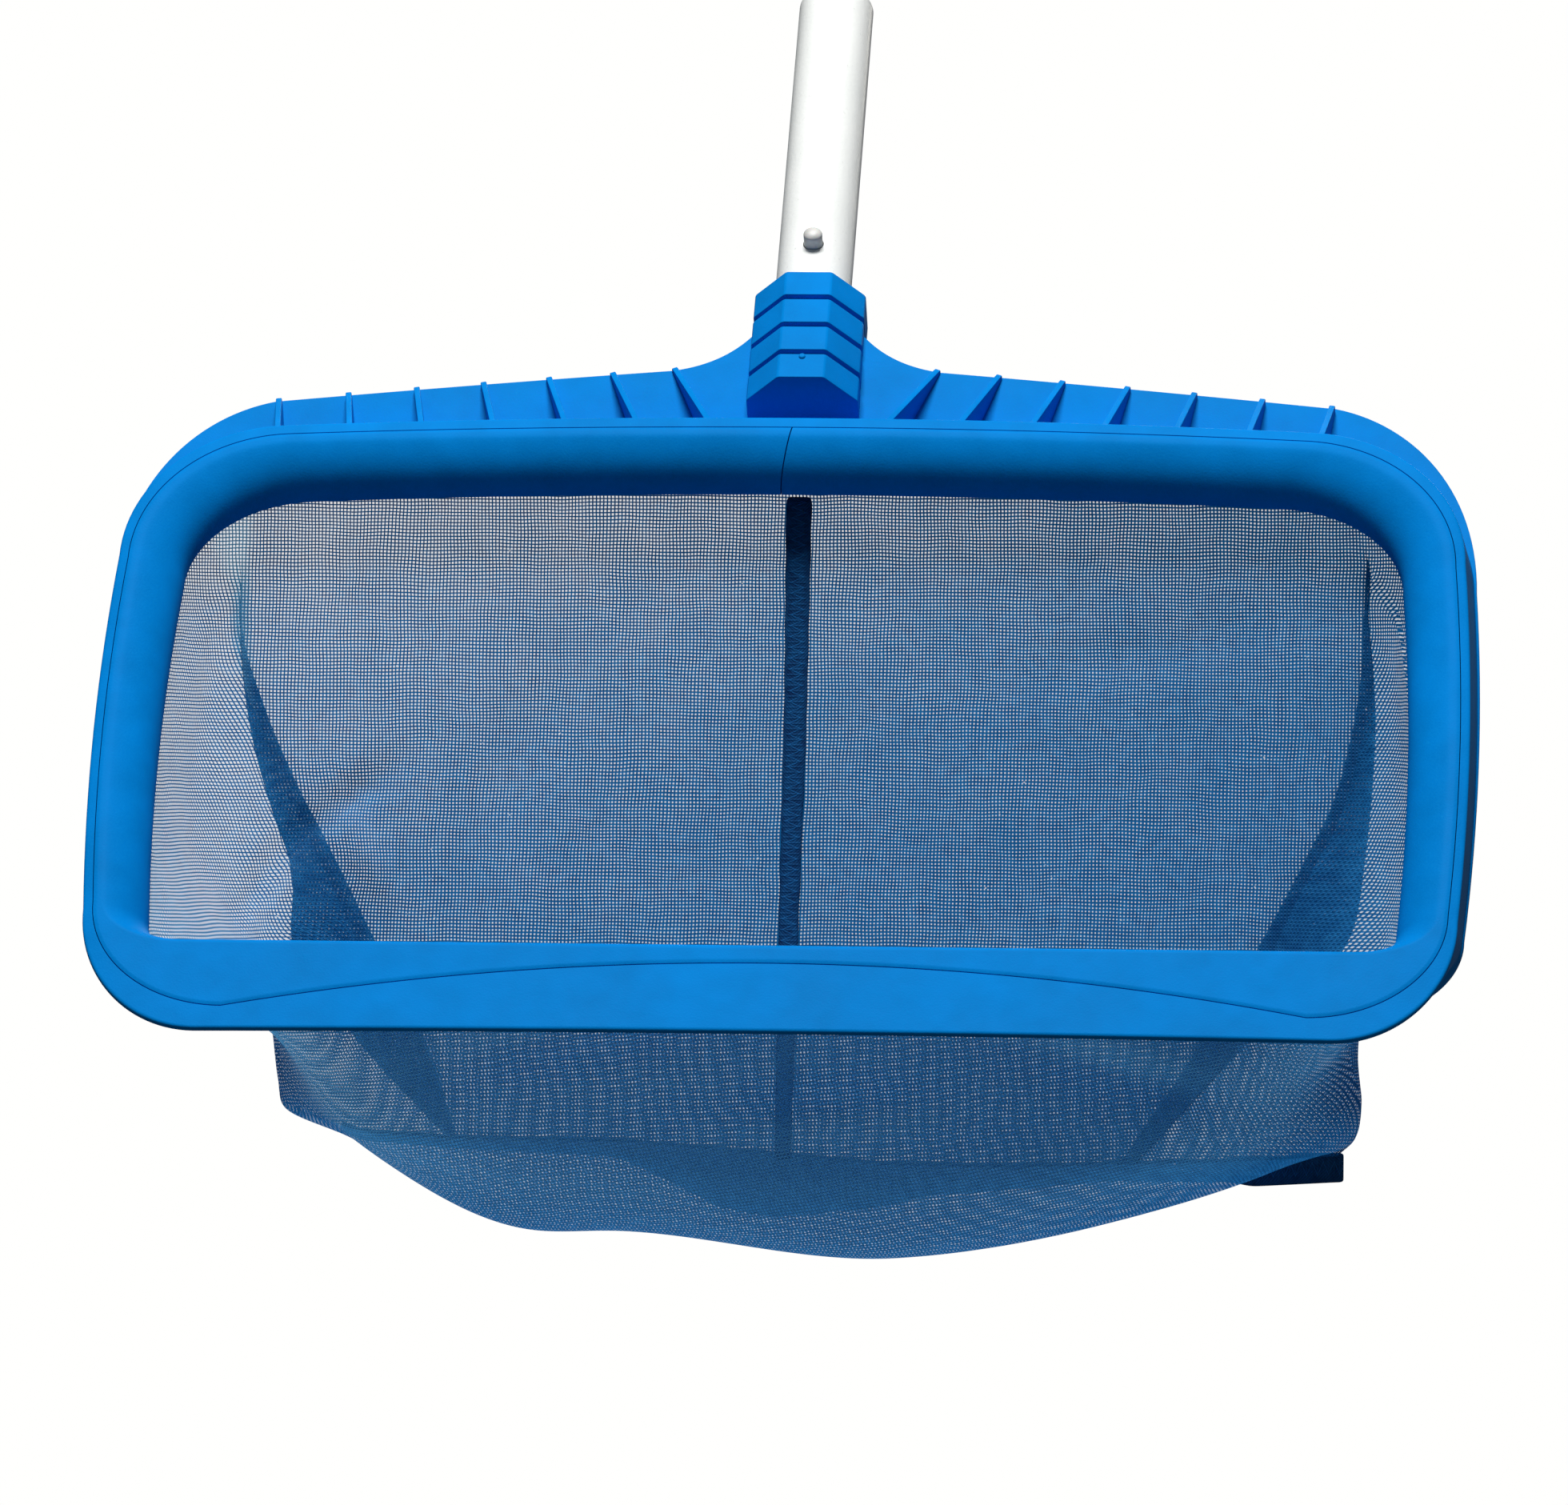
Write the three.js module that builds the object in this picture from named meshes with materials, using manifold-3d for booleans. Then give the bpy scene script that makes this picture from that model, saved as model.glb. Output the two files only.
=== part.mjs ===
// Leaf skimmer head for a pool pole: a two-piece moulded frame that clamps a mesh bag,
// with a tube handle and a sprung button clip. Millimetres, +Z up, gravity along -Z.
// The origin is the centre of the collar's top face, where the pole's end seats.
import * as THREE from 'three';
import { ParametricGeometry } from 'three/addons/geometries/ParametricGeometry.js';
import * as BufferGeometryUtils from 'three/addons/utils/BufferGeometryUtils.js';
import Module from 'manifold-3d';

const wasm = await Module();
wasm.setup();

// Driving dimensions.
const FRAME_LEAN = THREE.MathUtils.degToRad(35);   // frame plane back from vertical, in use
const HANDLE_TILT = THREE.MathUtils.degToRad(9);   // handle back from the frame plane
const SEAT_UP = 304.3;          // collar's top face above the scoop edge, in the frame plane
const SEAT_BACK = 25.9;         // collar's top face behind the frame's front plane
const DEPTH = 22;               // front plane to the back plate's rear face
const SIDE_BOW = 2.6;           // how far the frame's sides bow out
const PLATE = 2.5;              // flange and back plate thickness
const WALL = 2.5;               // channel wall thickness
const GAP = 0.3;                // clearance between neighbouring pieces
const BOWL_DEPTH = 14;          // front plane to the bezel's inner lip
const BOWL_START = THREE.MathUtils.degToRad(20);   // the bowl's slope where it leaves the crest
const COLLAR_FLATS = 37;        // octagonal collar, across flats
const COLLAR_LENGTH = 50.5;
const COLLAR_BANDS = 4;
const BAND_GROOVE = 2.1;        // width of the grooves between the collar's bands
const BAND_GROOVE_DEPTH = 2;
const TUBE_RADIUS = 12.7;
const TUBE_WALL = 1.6;
const TUBE_ABOVE_SEAT = 150;
const TUBE_IN_COLLAR = 44;
const BUTTON_RADIUS = 3.175;
const BUTTON_UP = 20;           // button axis above the seat
const BUTTON_PROUD = 5.5;       // button tip beyond the tube
const RIBS_PER_SIDE = 7;
const RIB_FIRST = 29.7;         // first rib's base from the centre line
const RIB_PITCH = 23.7;
const RIB_THICKNESS = 2;
const RIB_LEAN_INNER = 22.5;    // degrees, first rib
const RIB_LEAN_OUTER = 7;       // degrees, last rib
const SCREW_HEAD_RADIUS = 3.2;
const SCREW_SHANK_RADIUS = 1.5;
const HANDLE_SCREWS = [-14, -33];   // below the seat, along the handle
const SCREW_HOLE = SCREW_SHANK_RADIUS + GAP;
const BOSS_RADIUS = 2.6;
const BOSS_TOP = 2;             // how far behind the front plane the bosses start
const BAG_INSET = 14.5;         // the bag's outer face inside the groove's outline
const SEAM_HALF = 171;          // half the bag's bottom seam
const SEAM_Y = -78;
const SEAM_Z = -275.4;
const SEAM_LONG_END = 183;      // the seam tape's longer end, from the centre line
const SEAM_TAPE = 9;            // height of the seam tape
const CLOTH = 1.5;              // thickness of the bag's stand-in wall

// Stations along half a rail, from top centre to bottom centre.
const SPLIT = { top: 8, topCorner: 7, side: 4, bottomCorner: 7, bottom: 10 };
const HALF = SPLIT.top + SPLIT.topCorner + SPLIT.side + SPLIT.bottomCorner + SPLIT.bottom;
const STATIONS = 2 * HALF;
const KAPPA = 0.5523;

// A rail is a closed outline in the frame plane, given by its right half: the top edge's
// height at the centre and at the shoulder, the side's ends, and the bottom edge.
function halfRail(r) {
  const path = new THREE.Path();
  const shoulderV = r.top - r.crown;
  const bend = r.bend ?? r.top;
  path.moveTo(0, r.top);
  path.quadraticCurveTo(r.shoulder / 2, bend, r.shoulder, shoulderV);
  const out = (r.high - r.shoulder) * KAPPA;
  const up = (shoulderV - r.highV) * KAPPA;
  const fall = (r.slope ?? 0.06) * out;
  path.bezierCurveTo(r.shoulder + out, shoulderV - fall, r.high, r.highV + up, r.high, r.highV);
  path.quadraticCurveTo(
    (r.high + r.low) / 2 + 2 * SIDE_BOW, (r.highV + r.lowV) / 2, r.low, r.lowV,
  );
  const down = (r.lowV - r.bottom) * KAPPA;
  const inward = (r.low - r.toe) * KAPPA;
  path.bezierCurveTo(r.low, r.lowV - down, r.toe + inward, r.bottom, r.toe, r.bottom);
  path.quadraticCurveTo(r.toe / 2, r.arch ?? r.bottom, 0, r.arch ?? r.bottom);
  const steps = [SPLIT.top, SPLIT.topCorner, SPLIT.side, SPLIT.bottomCorner, SPLIT.bottom];
  const points = [new THREE.Vector2(0, r.top)];
  path.curves.forEach((curve, i) => {
    for (let k = 1; k <= steps[i]; k += 1) points.push(curve.getPoint(k / steps[i]));
  });
  return points;
}

// Frame coordinates (across x, up v, forward w) to the head group's own axes.
function place(x, v, w) {
  return new THREE.Vector3(x, -w, v);
}

// How far down the ring a station is: 0 on the top and sides, 1 on the bottom bar.
function barShare(index) {
  const start = SPLIT.top + SPLIT.topCorner + SPLIT.side;
  return THREE.MathUtils.smoothstep(index, start, start + SPLIT.bottomCorner);
}

// The whole rail at depth w, which may differ on the bottom bar.
function rail(shape, w, wBar = w) {
  const half = halfRail(shape);
  const at = (i) => THREE.MathUtils.lerp(w, wBar, barShare(i));
  const right = half.map((p, i) => place(p.x, p.y, at(i)));
  const left = right.slice(1, HALF).reverse().map((p) => new THREE.Vector3(-p.x, p.y, p.z));
  return [...right, ...left];
}

function merged(geometry) {
  const bare = geometry.clone();
  for (const name of Object.keys(bare.attributes)) {
    if (name !== 'position') bare.deleteAttribute(name);
  }
  return BufferGeometryUtils.mergeVertices(bare, 1e-4);
}

// Triangles that have closed up to a line or a point are dropped before a boolean.
function toSolid(geometry) {
  const clean = merged(geometry);
  const position = clean.attributes.position.array;
  const triangles = [];
  const index = clean.index.array;
  for (let i = 0; i < index.length; i += 3) {
    const [a, b, c] = [index[i], index[i + 1], index[i + 2]];
    if (a !== b && b !== c && c !== a) triangles.push(a, b, c);
  }
  const mesh = new wasm.Mesh({
    numProp: 3,
    vertProperties: Float32Array.from(position),
    triVerts: Uint32Array.from(triangles),
  });
  return new wasm.Manifold(mesh);
}

function toGeometry(solid) {
  const mesh = solid.getMesh();
  const geometry = new THREE.BufferGeometry();
  geometry.setAttribute('position', new THREE.BufferAttribute(mesh.vertProperties, 3));
  geometry.setIndex(new THREE.BufferAttribute(mesh.triVerts, 1));
  geometry.computeVertexNormals();
  return geometry;
}

// A closed ring whose section is the given rails in order.
function ringGeometry(rails) {
  const surface = (u, v, target) => {
    const section = rails[Math.round((1 - u) * rails.length) % rails.length];
    target.copy(section[Math.round(v * STATIONS) % STATIONS]);
  };
  return new ParametricGeometry(surface, rails.length, STATIONS);
}

// Outlines of the frame, from the outside in.
const GROOVE = {
  top: 237, crown: 4.2, shoulder: 168, high: 216.7, highV: 182,
  low: 216.2, lowV: 46, toe: 172, bottom: 6.6, arch: 25,
};
const EDGE = {
  top: 241.5, crown: 4.6, shoulder: 170, high: 219.7, highV: 184,
  low: 219.2, lowV: 44, toe: 180, bottom: -1.8, arch: -0.6,
};
const FOOT = {
  top: 242.8, crown: 4.8, shoulder: 171, high: 222.4, highV: 186,
  low: 220.6, lowV: 50, toe: 184, bottom: 20,
};
const FLANGE = {
  top: 278.7, crown: 18, bend: 271, shoulder: 176, slope: 0.24, high: 223.4, highV: 186,
  low: 221.2, lowV: 50, toe: 184, bottom: 19.8,
};
const BOWL = {
  top: 220.2, crown: 4.4, shoulder: 160, high: 199.6, highV: 180,
  low: 199.6, lowV: 46, toe: 190, bottom: 36,
};

// An outline moved inward by n on the top and sides, with its own bottom edge.
function inset(shape, n, bottom, arch = bottom) {
  return {
    ...shape,
    top: shape.top - n,
    shoulder: shape.shoulder - n * 0.4,
    high: shape.high - n,
    highV: shape.highV - n * 0.1,
    low: shape.low - n,
    toe: shape.toe,
    bottom,
    arch,
  };
}

// The groove's outline moved inward by n for the wall that holds the bag, which sits
// higher in the frame along the top edge.
function bagSide(n, bottom) {
  const shape = inset(GROOVE, n, bottom);
  return { ...shape, top: shape.top + BAG_RISE };
}

// An outline between two others, with its own bottom edge.
function between(a, b, share, bottom, arch = bottom) {
  const mix = (key) => THREE.MathUtils.lerp(a[key], b[key], share);
  const keys = ['top', 'crown', 'shoulder', 'high', 'highV', 'low', 'lowV', 'toe'];
  const shape = Object.fromEntries(keys.map((key) => [key, mix(key)]));
  return { ...shape, bottom, arch };
}

const BAG_RISE = 3;             // how much nearer the top edge the bag's wall sits there
const CHANNEL_BOTTOM = 22.4;    // inside face of the channel's lower wall
const INNER_WALL = 31.8;        // lower face of the channel's upper wall, on the bottom bar

function channelRing() {
  const floor = -(DEPTH - PLATE);
  const innerOuter = bagSide(11.8, INNER_WALL);
  const innerInner = bagSide(14, INNER_WALL + 2.2);
  const land = inset(GROOVE, -0.35, GROOVE.bottom - 0.35, GROOVE.arch - 0.35);
  const rails = [
    rail(land, -0.3),
    rail(EDGE, -0.9, -0.3),
    rail({ ...EDGE, top: 241.8, high: 220, low: 219.4, bottom: -2.4, arch: -1.2 }, -2.2),
    rail(FOOT, floor, -5),
    rail(FLANGE, floor, floor),
    rail(FLANGE, -DEPTH),
    rail(innerInner, -DEPTH),
    rail(innerInner, -17),
    rail(innerOuter, -17),
    rail(innerOuter, floor),
    rail(inset(FOOT, WALL, CHANNEL_BOTTOM), floor),
    rail(inset(EDGE, WALL, CHANNEL_BOTTOM), -2.6),
    rail(land, -2.6),
  ];
  return ringGeometry(rails);
}

// The octagon's front is a flat; its radius here is to the corners.
function octagonPrism(flats, length) {
  const corner = flats / 2 / Math.cos(Math.PI / 8);
  const prism = new THREE.CylinderGeometry(corner, corner, length, 8);
  prism.rotateY(Math.PI / 8);
  prism.rotateX(Math.PI / 2);
  return prism;
}

// Moves a shape from the handle's axes, origin at the seat, to the head group's axes.
function handleToHead(geometry) {
  geometry.rotateX(-HANDLE_TILT);
  geometry.translate(0, SEAT_BACK, SEAT_UP);
  return geometry;
}

function collarSolid() {
  const body = octagonPrism(COLLAR_FLATS, COLLAR_LENGTH);
  body.translate(0, 0, -COLLAR_LENGTH / 2);
  let collar = toSolid(handleToHead(body));
  const pitch = (COLLAR_LENGTH + BAND_GROOVE) / COLLAR_BANDS;
  for (let i = 1; i < COLLAR_BANDS; i += 1) {
    const z = -i * pitch + BAND_GROOVE / 2;
    const outer = octagonPrism(COLLAR_FLATS + 8, BAND_GROOVE);
    const core = octagonPrism(COLLAR_FLATS - 2 * BAND_GROOVE_DEPTH, BAND_GROOVE + 2);
    outer.translate(0, 0, z);
    core.translate(0, 0, z);
    const ring = toSolid(handleToHead(outer)).subtract(toSolid(handleToHead(core)));
    collar = collar.subtract(ring);
  }
  return collar;
}

function collarBore() {
  const depth = TUBE_IN_COLLAR + GAP;
  const bore = new THREE.CylinderGeometry(TUBE_RADIUS + GAP, TUBE_RADIUS + GAP, depth + 5, 32);
  bore.rotateX(Math.PI / 2);
  bore.translate(0, 0, (5 - depth) / 2);
  return toSolid(handleToHead(bore));
}

// The concave flares that join the flange to the collar, down to the ring's back plate.
function wingSolid() {
  const outline = new THREE.Shape();
  outline.moveTo(-60, 236);
  outline.lineTo(60, 236);
  outline.lineTo(60, 272.8);
  outline.lineTo(46, 274.4);
  outline.bezierCurveTo(34, 276.2, 25, 281.2, 18, 290.2);
  outline.lineTo(-18, 290.2);
  outline.bezierCurveTo(-25, 281.2, -34, 276.2, -46, 274.4);
  outline.lineTo(-60, 272.8);
  outline.closePath();
  const plate = new THREE.ExtrudeGeometry(outline, {
    depth: PLATE, bevelEnabled: false, curveSegments: 8,
  });
  plate.rotateX(Math.PI / 2);
  plate.translate(0, DEPTH, 0);
  return toSolid(plate);
}

function ribLean(index) {
  const share = 1 - index / (RIBS_PER_SIDE - 1);
  const lean = RIB_LEAN_OUTER + (RIB_LEAN_INNER - RIB_LEAN_OUTER) * share ** 1.5;
  return THREE.MathUtils.degToRad(lean);
}

// Height of a rail at a given x, on its top edge.
function topHeight(shape, x) {
  const half = halfRail(shape).slice(0, SPLIT.top + SPLIT.topCorner);
  const after = half.findIndex((p) => p.x >= x);
  const [a, b] = [half[after - 1], half[after]];
  return THREE.MathUtils.mapLinear(x, a.x, b.x, a.y, b.y);
}

// A fin on the flange, from the ring's lip to the flange's edge, standing square to it.
function ribSolid(index, side) {
  const lean = ribLean(index);
  const baseX = RIB_FIRST + RIB_PITCH * index;
  const baseV = topHeight(EDGE, baseX) - 0.6;
  const rise = topHeight(FLANGE, baseX + 5) - baseV;
  const run = rise / Math.cos(lean) - 0.6;
  const tip = 1 + 1.8 * index / (RIBS_PER_SIDE - 1);
  const profile = new THREE.Shape();
  profile.moveTo(0, -1);
  profile.lineTo(run, -1);
  profile.lineTo(run, tip);
  profile.lineTo(run - 1.5, tip + 0.9);
  profile.lineTo(1, DEPTH - PLATE - 1.8);
  profile.lineTo(0, DEPTH - PLATE - 1.8);
  profile.closePath();
  const fin = new THREE.ExtrudeGeometry(profile, { depth: RIB_THICKNESS, bevelEnabled: false });
  fin.translate(0, 0, -RIB_THICKNESS / 2);
  // Profile x runs up the rib, profile y forward from the flange, and z across it.
  const along = new THREE.Vector3(Math.sin(lean) * side, 0, Math.cos(lean));
  const forward = new THREE.Vector3(0, -1, 0);
  const across = new THREE.Vector3().crossVectors(along, forward);
  const turn = new THREE.Matrix4().makeBasis(along, forward, across);
  fin.applyMatrix4(turn);
  fin.translate(side * baseX, DEPTH - PLATE, baseV);
  return toSolid(fin);
}

// Where the bezel's screws go: across, up, in the frame plane.
function screwPlaces() {
  const right = [
    [62, 233.4], [150, 230.6], [212.2, 160], [212.2, 75], [150, 26], [58, 26],
  ];
  return right.flatMap(([x, v]) => [[x, v], [-x, v]]);
}

// A cylinder along the frame's depth, between two depths behind the front plane.
function depthCylinder(radius, near, far, x, v, segments = 16) {
  const rod = new THREE.CylinderGeometry(radius, radius, far - near, segments);
  rod.translate(x, (near + far) / 2, v);
  return rod;
}

function rearFrameGeometry() {
  let frame = toSolid(channelRing());
  frame = frame.add(wingSolid());
  for (let i = 0; i < RIBS_PER_SIDE; i += 1) {
    frame = frame.add(ribSolid(i, 1)).add(ribSolid(i, -1));
  }
  frame = frame.add(collarSolid()).subtract(collarBore());
  for (const [x, v] of screwPlaces()) {
    const hole = depthCylinder(SCREW_HOLE, DEPTH - PLATE - 1, DEPTH + 1, x, v);
    frame = frame.subtract(toSolid(hole));
  }
  for (const z of HANDLE_SCREWS) {
    const hole = new THREE.CylinderGeometry(SCREW_HOLE, SCREW_HOLE, 20, 12);
    hole.translate(0, COLLAR_FLATS / 2, z);
    frame = frame.subtract(toSolid(handleToHead(hole)));
  }
  return toGeometry(frame);
}

function bezelRing() {
  const inner = inset(GROOVE, 0.15, GROOVE.bottom + 0.15, GROOVE.arch + 0.15);
  const crest = { ...inset(GROOVE, 3.4, 31), toe: 186 };
  const [sine, cosine] = [Math.sin(BOWL_START), Math.cos(BOWL_START)];
  const arc = [0.25, 0.5, 0.75, 1].map((t) => {
    const angle = THREE.MathUtils.lerp(BOWL_START, Math.PI / 2, t);
    const share = (Math.sin(angle) - sine) / (1 - sine);
    const shape = between(crest, BOWL, share, THREE.MathUtils.lerp(31, 36, share));
    return rail(shape, -BOWL_DEPTH * (1 - Math.cos(angle) / cosine));
  });
  const lip = between(crest, BOWL, 0.86, 34.3);
  const rails = [
    rail(inner, -0.3),
    rail(inset(GROOVE, 1.2, GROOVE.bottom + 1.2, GROOVE.arch + 1.2), 0),
    rail(crest, 0),
    ...arc,
    rail(BOWL, -BOWL_DEPTH - 1.2),
    rail(lip, -BOWL_DEPTH - 1.2),
    rail(between(crest, BOWL, 0.72, 33.6), -9.5),
    rail(between(crest, BOWL, 0.42, 32.2), -4.8),
    rail(between(crest, BOWL, 0.08, 29.4), -2.4),
    rail(inner, -2.3),
  ];
  return ringGeometry(rails.reverse());
}

// The slit where the bezel's two ends meet, slanting across its top.
function bezelSlit() {
  const slit = new THREE.BoxGeometry(0.4, 30, 60);
  slit.rotateY(THREE.MathUtils.degToRad(12));
  slit.translate(-3.6, 5, 228);
  return toSolid(slit);
}

function bezelGeometry() {
  let bezel = toSolid(bezelRing());
  for (const [x, v] of screwPlaces()) {
    const boss = depthCylinder(BOSS_RADIUS, BOSS_TOP, DEPTH - PLATE - 0.6, x, v);
    const pilot = depthCylinder(SCREW_HOLE, 5, DEPTH, x, v);
    bezel = bezel.add(toSolid(boss)).subtract(toSolid(pilot));
  }
  return toGeometry(bezel.subtract(bezelSlit()));
}

// Pan-head screw along +Z: the head's underside at 0, the point at +length.
function screwGeometry(length) {
  const r = SCREW_SHANK_RADIUS;
  const points = [
    [0, -2.1], [2.2, -1.8], [SCREW_HEAD_RADIUS, -0.6], [SCREW_HEAD_RADIUS, 0],
    [r, 0], [r, length - 3], [0, length],
  ].map(([x, y]) => new THREE.Vector2(x, y));
  const screw = new THREE.LatheGeometry(points, 10);
  screw.rotateX(Math.PI / 2);
  return screw;
}

function hemGeometry() {
  const outer = bagSide(12.2, INNER_WALL + 0.5);
  const inner = bagSide(16.2, INNER_WALL + 3.9);
  return ringGeometry([rail(outer, -15.5), rail(outer, -16.7), rail(inner, -16.7), rail(inner, -15.5)]);
}

function hemCordGeometry() {
  const rails = [];
  for (let i = 0; i < 6; i += 1) {
    const angle = (i * Math.PI) / 3;
    const n = 10.3 + 1.25 * Math.cos(angle);
    const bottom = 30.3 + 1.25 * Math.cos(angle);
    rails.push(rail(bagSide(n, bottom), -17.9 + 1.25 * Math.sin(angle)));
  }
  return ringGeometry(rails);
}

// The head group's place: its frame leans back and the collar's seat is the origin.
const headTurn = new THREE.Matrix4().makeRotationX(-FRAME_LEAN);
const headOffset = place(0, SEAT_UP, -SEAT_BACK).applyMatrix4(headTurn).negate();
const headMatrix = headTurn.clone().setPosition(headOffset);

// How far a rim point is towards the top of the frame: 0 at the bar, 1 at the top.
function backShare(point) {
  return THREE.MathUtils.clamp((point.z + 221) / 153, 0, 1);
}

// The seam point that a station's cloth runs down to. Stations that face each other
// across the bag share one, so the bag closes along a line.
function seamPoint(station, half, lift) {
  const wrapped = station > HALF ? STATIONS - station : station;
  const side = station > HALF ? -1 : 1;
  const across = 1 - Math.abs((2 * wrapped) / HALF - 1);
  const x = side * half * Math.sin((across * Math.PI) / 2);
  return new THREE.Vector3(x, SEAM_Y, SEAM_Z + lift);
}

// One line of cloth from the rim to the seam: the back hangs straight and the front sags.
function hang(rim, seam, push) {
  const back = backShare(rim);
  const inward = new THREE.Vector3(-rim.x / 200, back > 0.5 ? -1 : 1, 0).normalize();
  const mix = THREE.MathUtils.lerp;
  const drop = new THREE.Vector3(0, mix(-4, 0, back), -mix(88, 66, back));
  const sag = new THREE.Vector3(0, mix(-44, 4, back), mix(-52, 62, back) + push * (1 - back));
  const first = rim.clone().add(drop).addScaledVector(inward, push);
  const second = seam.clone().add(sag).addScaledVector(inward, push);
  return new THREE.CubicBezierCurve3(rim, first, second, seam);
}

const BAG_LEVELS = 7;

function bagLayer(offset, push, half, lift) {
  const collar = rail(bagSide(offset, INNER_WALL + offset - 11.8), -17.2);
  const rim = rail(bagSide(offset, INNER_WALL + offset - 11.8), -DEPTH - 0.9);
  collar.concat(rim).forEach((p) => p.applyMatrix4(headMatrix));
  const lines = rim.map((p, i) => hang(p, seamPoint(i, half, lift), push));
  const layers = [collar];
  for (let k = 0; k <= BAG_LEVELS; k += 1) {
    layers.push(lines.map((line) => line.getPoint(k / BAG_LEVELS)));
  }
  return layers;
}

// The bag's stand-in: an open shell from the rim to the bottom seam.
function bagGeometry() {
  const outer = bagLayer(BAG_INSET, 0, SEAM_HALF, 0);
  const inner = bagLayer(BAG_INSET + CLOTH, CLOTH + GAP, SEAM_HALF - 7, 7);
  const layers = [...outer.reverse(), ...inner];
  const surface = (u, v, target) => {
    const layer = layers[Math.round(u * (layers.length - 1))];
    target.copy(layer[Math.round(v * STATIONS) % STATIONS]);
  };
  return new ParametricGeometry(surface, layers.length - 1, STATIONS);
}

// The back seam's tape, inside the back panel and following it.
function backSeamGeometry() {
  const layers = bagLayer(BAG_INSET + CLOTH, CLOTH + GAP, SEAM_HALF - 7, 7);
  const line = layers.slice(1, BAG_LEVELS + 1).map((layer) => layer[0]);
  const profile = new THREE.Shape();
  const face = line.map((p) => new THREE.Vector2(p.y - 0.5, p.z));
  const front = line.map((p) => new THREE.Vector2(p.y - 1.7, p.z + 0.4)).reverse();
  profile.setFromPoints([...face, ...front]);
  const tape = new THREE.ExtrudeGeometry(profile, { depth: 7, bevelEnabled: false });
  tape.rotateY(Math.PI / 2);
  tape.rotateX(Math.PI / 2);
  return tape;
}

// The bottom seam's binding, a flat strip hanging from the seam, one end left long.
function bottomSeamGeometry() {
  const tape = new THREE.BoxGeometry(SEAM_HALF + SEAM_LONG_END - 6, 2.2, SEAM_TAPE, 24, 1, 1);
  tape.translate((SEAM_LONG_END - SEAM_HALF + 6) / 2, SEAM_Y + 1.8, SEAM_Z - GAP - SEAM_TAPE / 2);
  return tape;
}

// The white tube, open at both ends, with a pair of button holes and two screw holes.
function tubeGeometry() {
  const inner = TUBE_RADIUS - TUBE_WALL;
  const points = [
    [inner, -TUBE_IN_COLLAR], [TUBE_RADIUS - 0.4, -TUBE_IN_COLLAR], [TUBE_RADIUS, 0.4 - TUBE_IN_COLLAR],
    [TUBE_RADIUS, TUBE_ABOVE_SEAT - 0.4], [TUBE_RADIUS - 0.4, TUBE_ABOVE_SEAT], [inner, TUBE_ABOVE_SEAT],
    [inner, -TUBE_IN_COLLAR],
  ].map(([x, y]) => new THREE.Vector2(x, y));
  const lathe = new THREE.LatheGeometry(points, 32);
  lathe.rotateX(Math.PI / 2);
  let tube = toSolid(lathe);
  const hole = new THREE.CylinderGeometry(BUTTON_RADIUS + GAP, BUTTON_RADIUS + GAP, 40, 20);
  hole.translate(0, 0, BUTTON_UP);
  tube = tube.subtract(toSolid(hole));
  for (const z of HANDLE_SCREWS) {
    const screwHole = new THREE.CylinderGeometry(SCREW_HOLE, SCREW_HOLE, 10, 12);
    screwHole.translate(0, TUBE_RADIUS, z);
    tube = tube.subtract(toSolid(screwHole));
  }
  return toGeometry(tube);
}

const BUTTON_INNER = 9.9;       // inner end of a button, from the tube's axis
const BUTTON_TIP = TUBE_RADIUS + BUTTON_PROUD;

// A button with a rounded tip, its axis along -Y.
function buttonGeometry() {
  const shape = new THREE.Path();
  shape.moveTo(0, BUTTON_INNER);
  shape.lineTo(BUTTON_RADIUS, BUTTON_INNER);
  shape.lineTo(BUTTON_RADIUS, BUTTON_TIP - 1.6);
  shape.absellipse(0, BUTTON_TIP - 1.6, BUTTON_RADIUS, 1.6, 0, Math.PI / 2, false);
  const button = new THREE.LatheGeometry(shape.getPoints(5), 20);
  button.rotateX(Math.PI);
  return button;
}

const CLIP_STRIP = 8;           // width of the clip's strip
const CLIP_THICKNESS = 0.8;
const CLIP_BEND_RADIUS = 3.2;
const CLIP_BEND_Z = -24;

// The sprung strip: a bend in the tube and two legs that spread to the buttons.
function clipGeometry() {
  const centre = new THREE.Path();
  const legTop = new THREE.Vector2(BUTTON_INNER - GAP - CLIP_THICKNESS / 2, BUTTON_UP + 6);
  const legTurn = new THREE.Vector2(legTop.x, BUTTON_UP - 5);
  centre.moveTo(legTop.x, legTop.y);
  centre.lineTo(legTurn.x, legTurn.y);
  centre.lineTo(CLIP_BEND_RADIUS, CLIP_BEND_Z);
  centre.absarc(0, CLIP_BEND_Z, CLIP_BEND_RADIUS, 0, -Math.PI, true);
  centre.lineTo(-legTurn.x, legTurn.y);
  centre.lineTo(-legTop.x, legTop.y);
  const line = centre.getPoints(8).filter((p, i, all) => i === 0 || p.distanceTo(all[i - 1]) > 0.01);
  const side = (offset) => line.map((p, i) => {
    const before = line[Math.max(i - 1, 0)];
    const after = line[Math.min(i + 1, line.length - 1)];
    const normal = after.clone().sub(before).normalize();
    return new THREE.Vector2(p.x - normal.y * offset, p.y + normal.x * offset);
  });
  const half = CLIP_THICKNESS / 2;
  const outline = new THREE.Shape([...side(half), ...side(-half).reverse()]);
  const strip = new THREE.ExtrudeGeometry(outline, { depth: CLIP_STRIP, bevelEnabled: false });
  strip.translate(0, 0, -CLIP_STRIP / 2);
  strip.rotateX(Math.PI / 2);
  strip.rotateZ(Math.PI / 2);
  return strip;
}

function mesh(name, geometry, material) {
  const node = new THREE.Mesh(geometry, material);
  node.name = name;
  return node;
}

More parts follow.
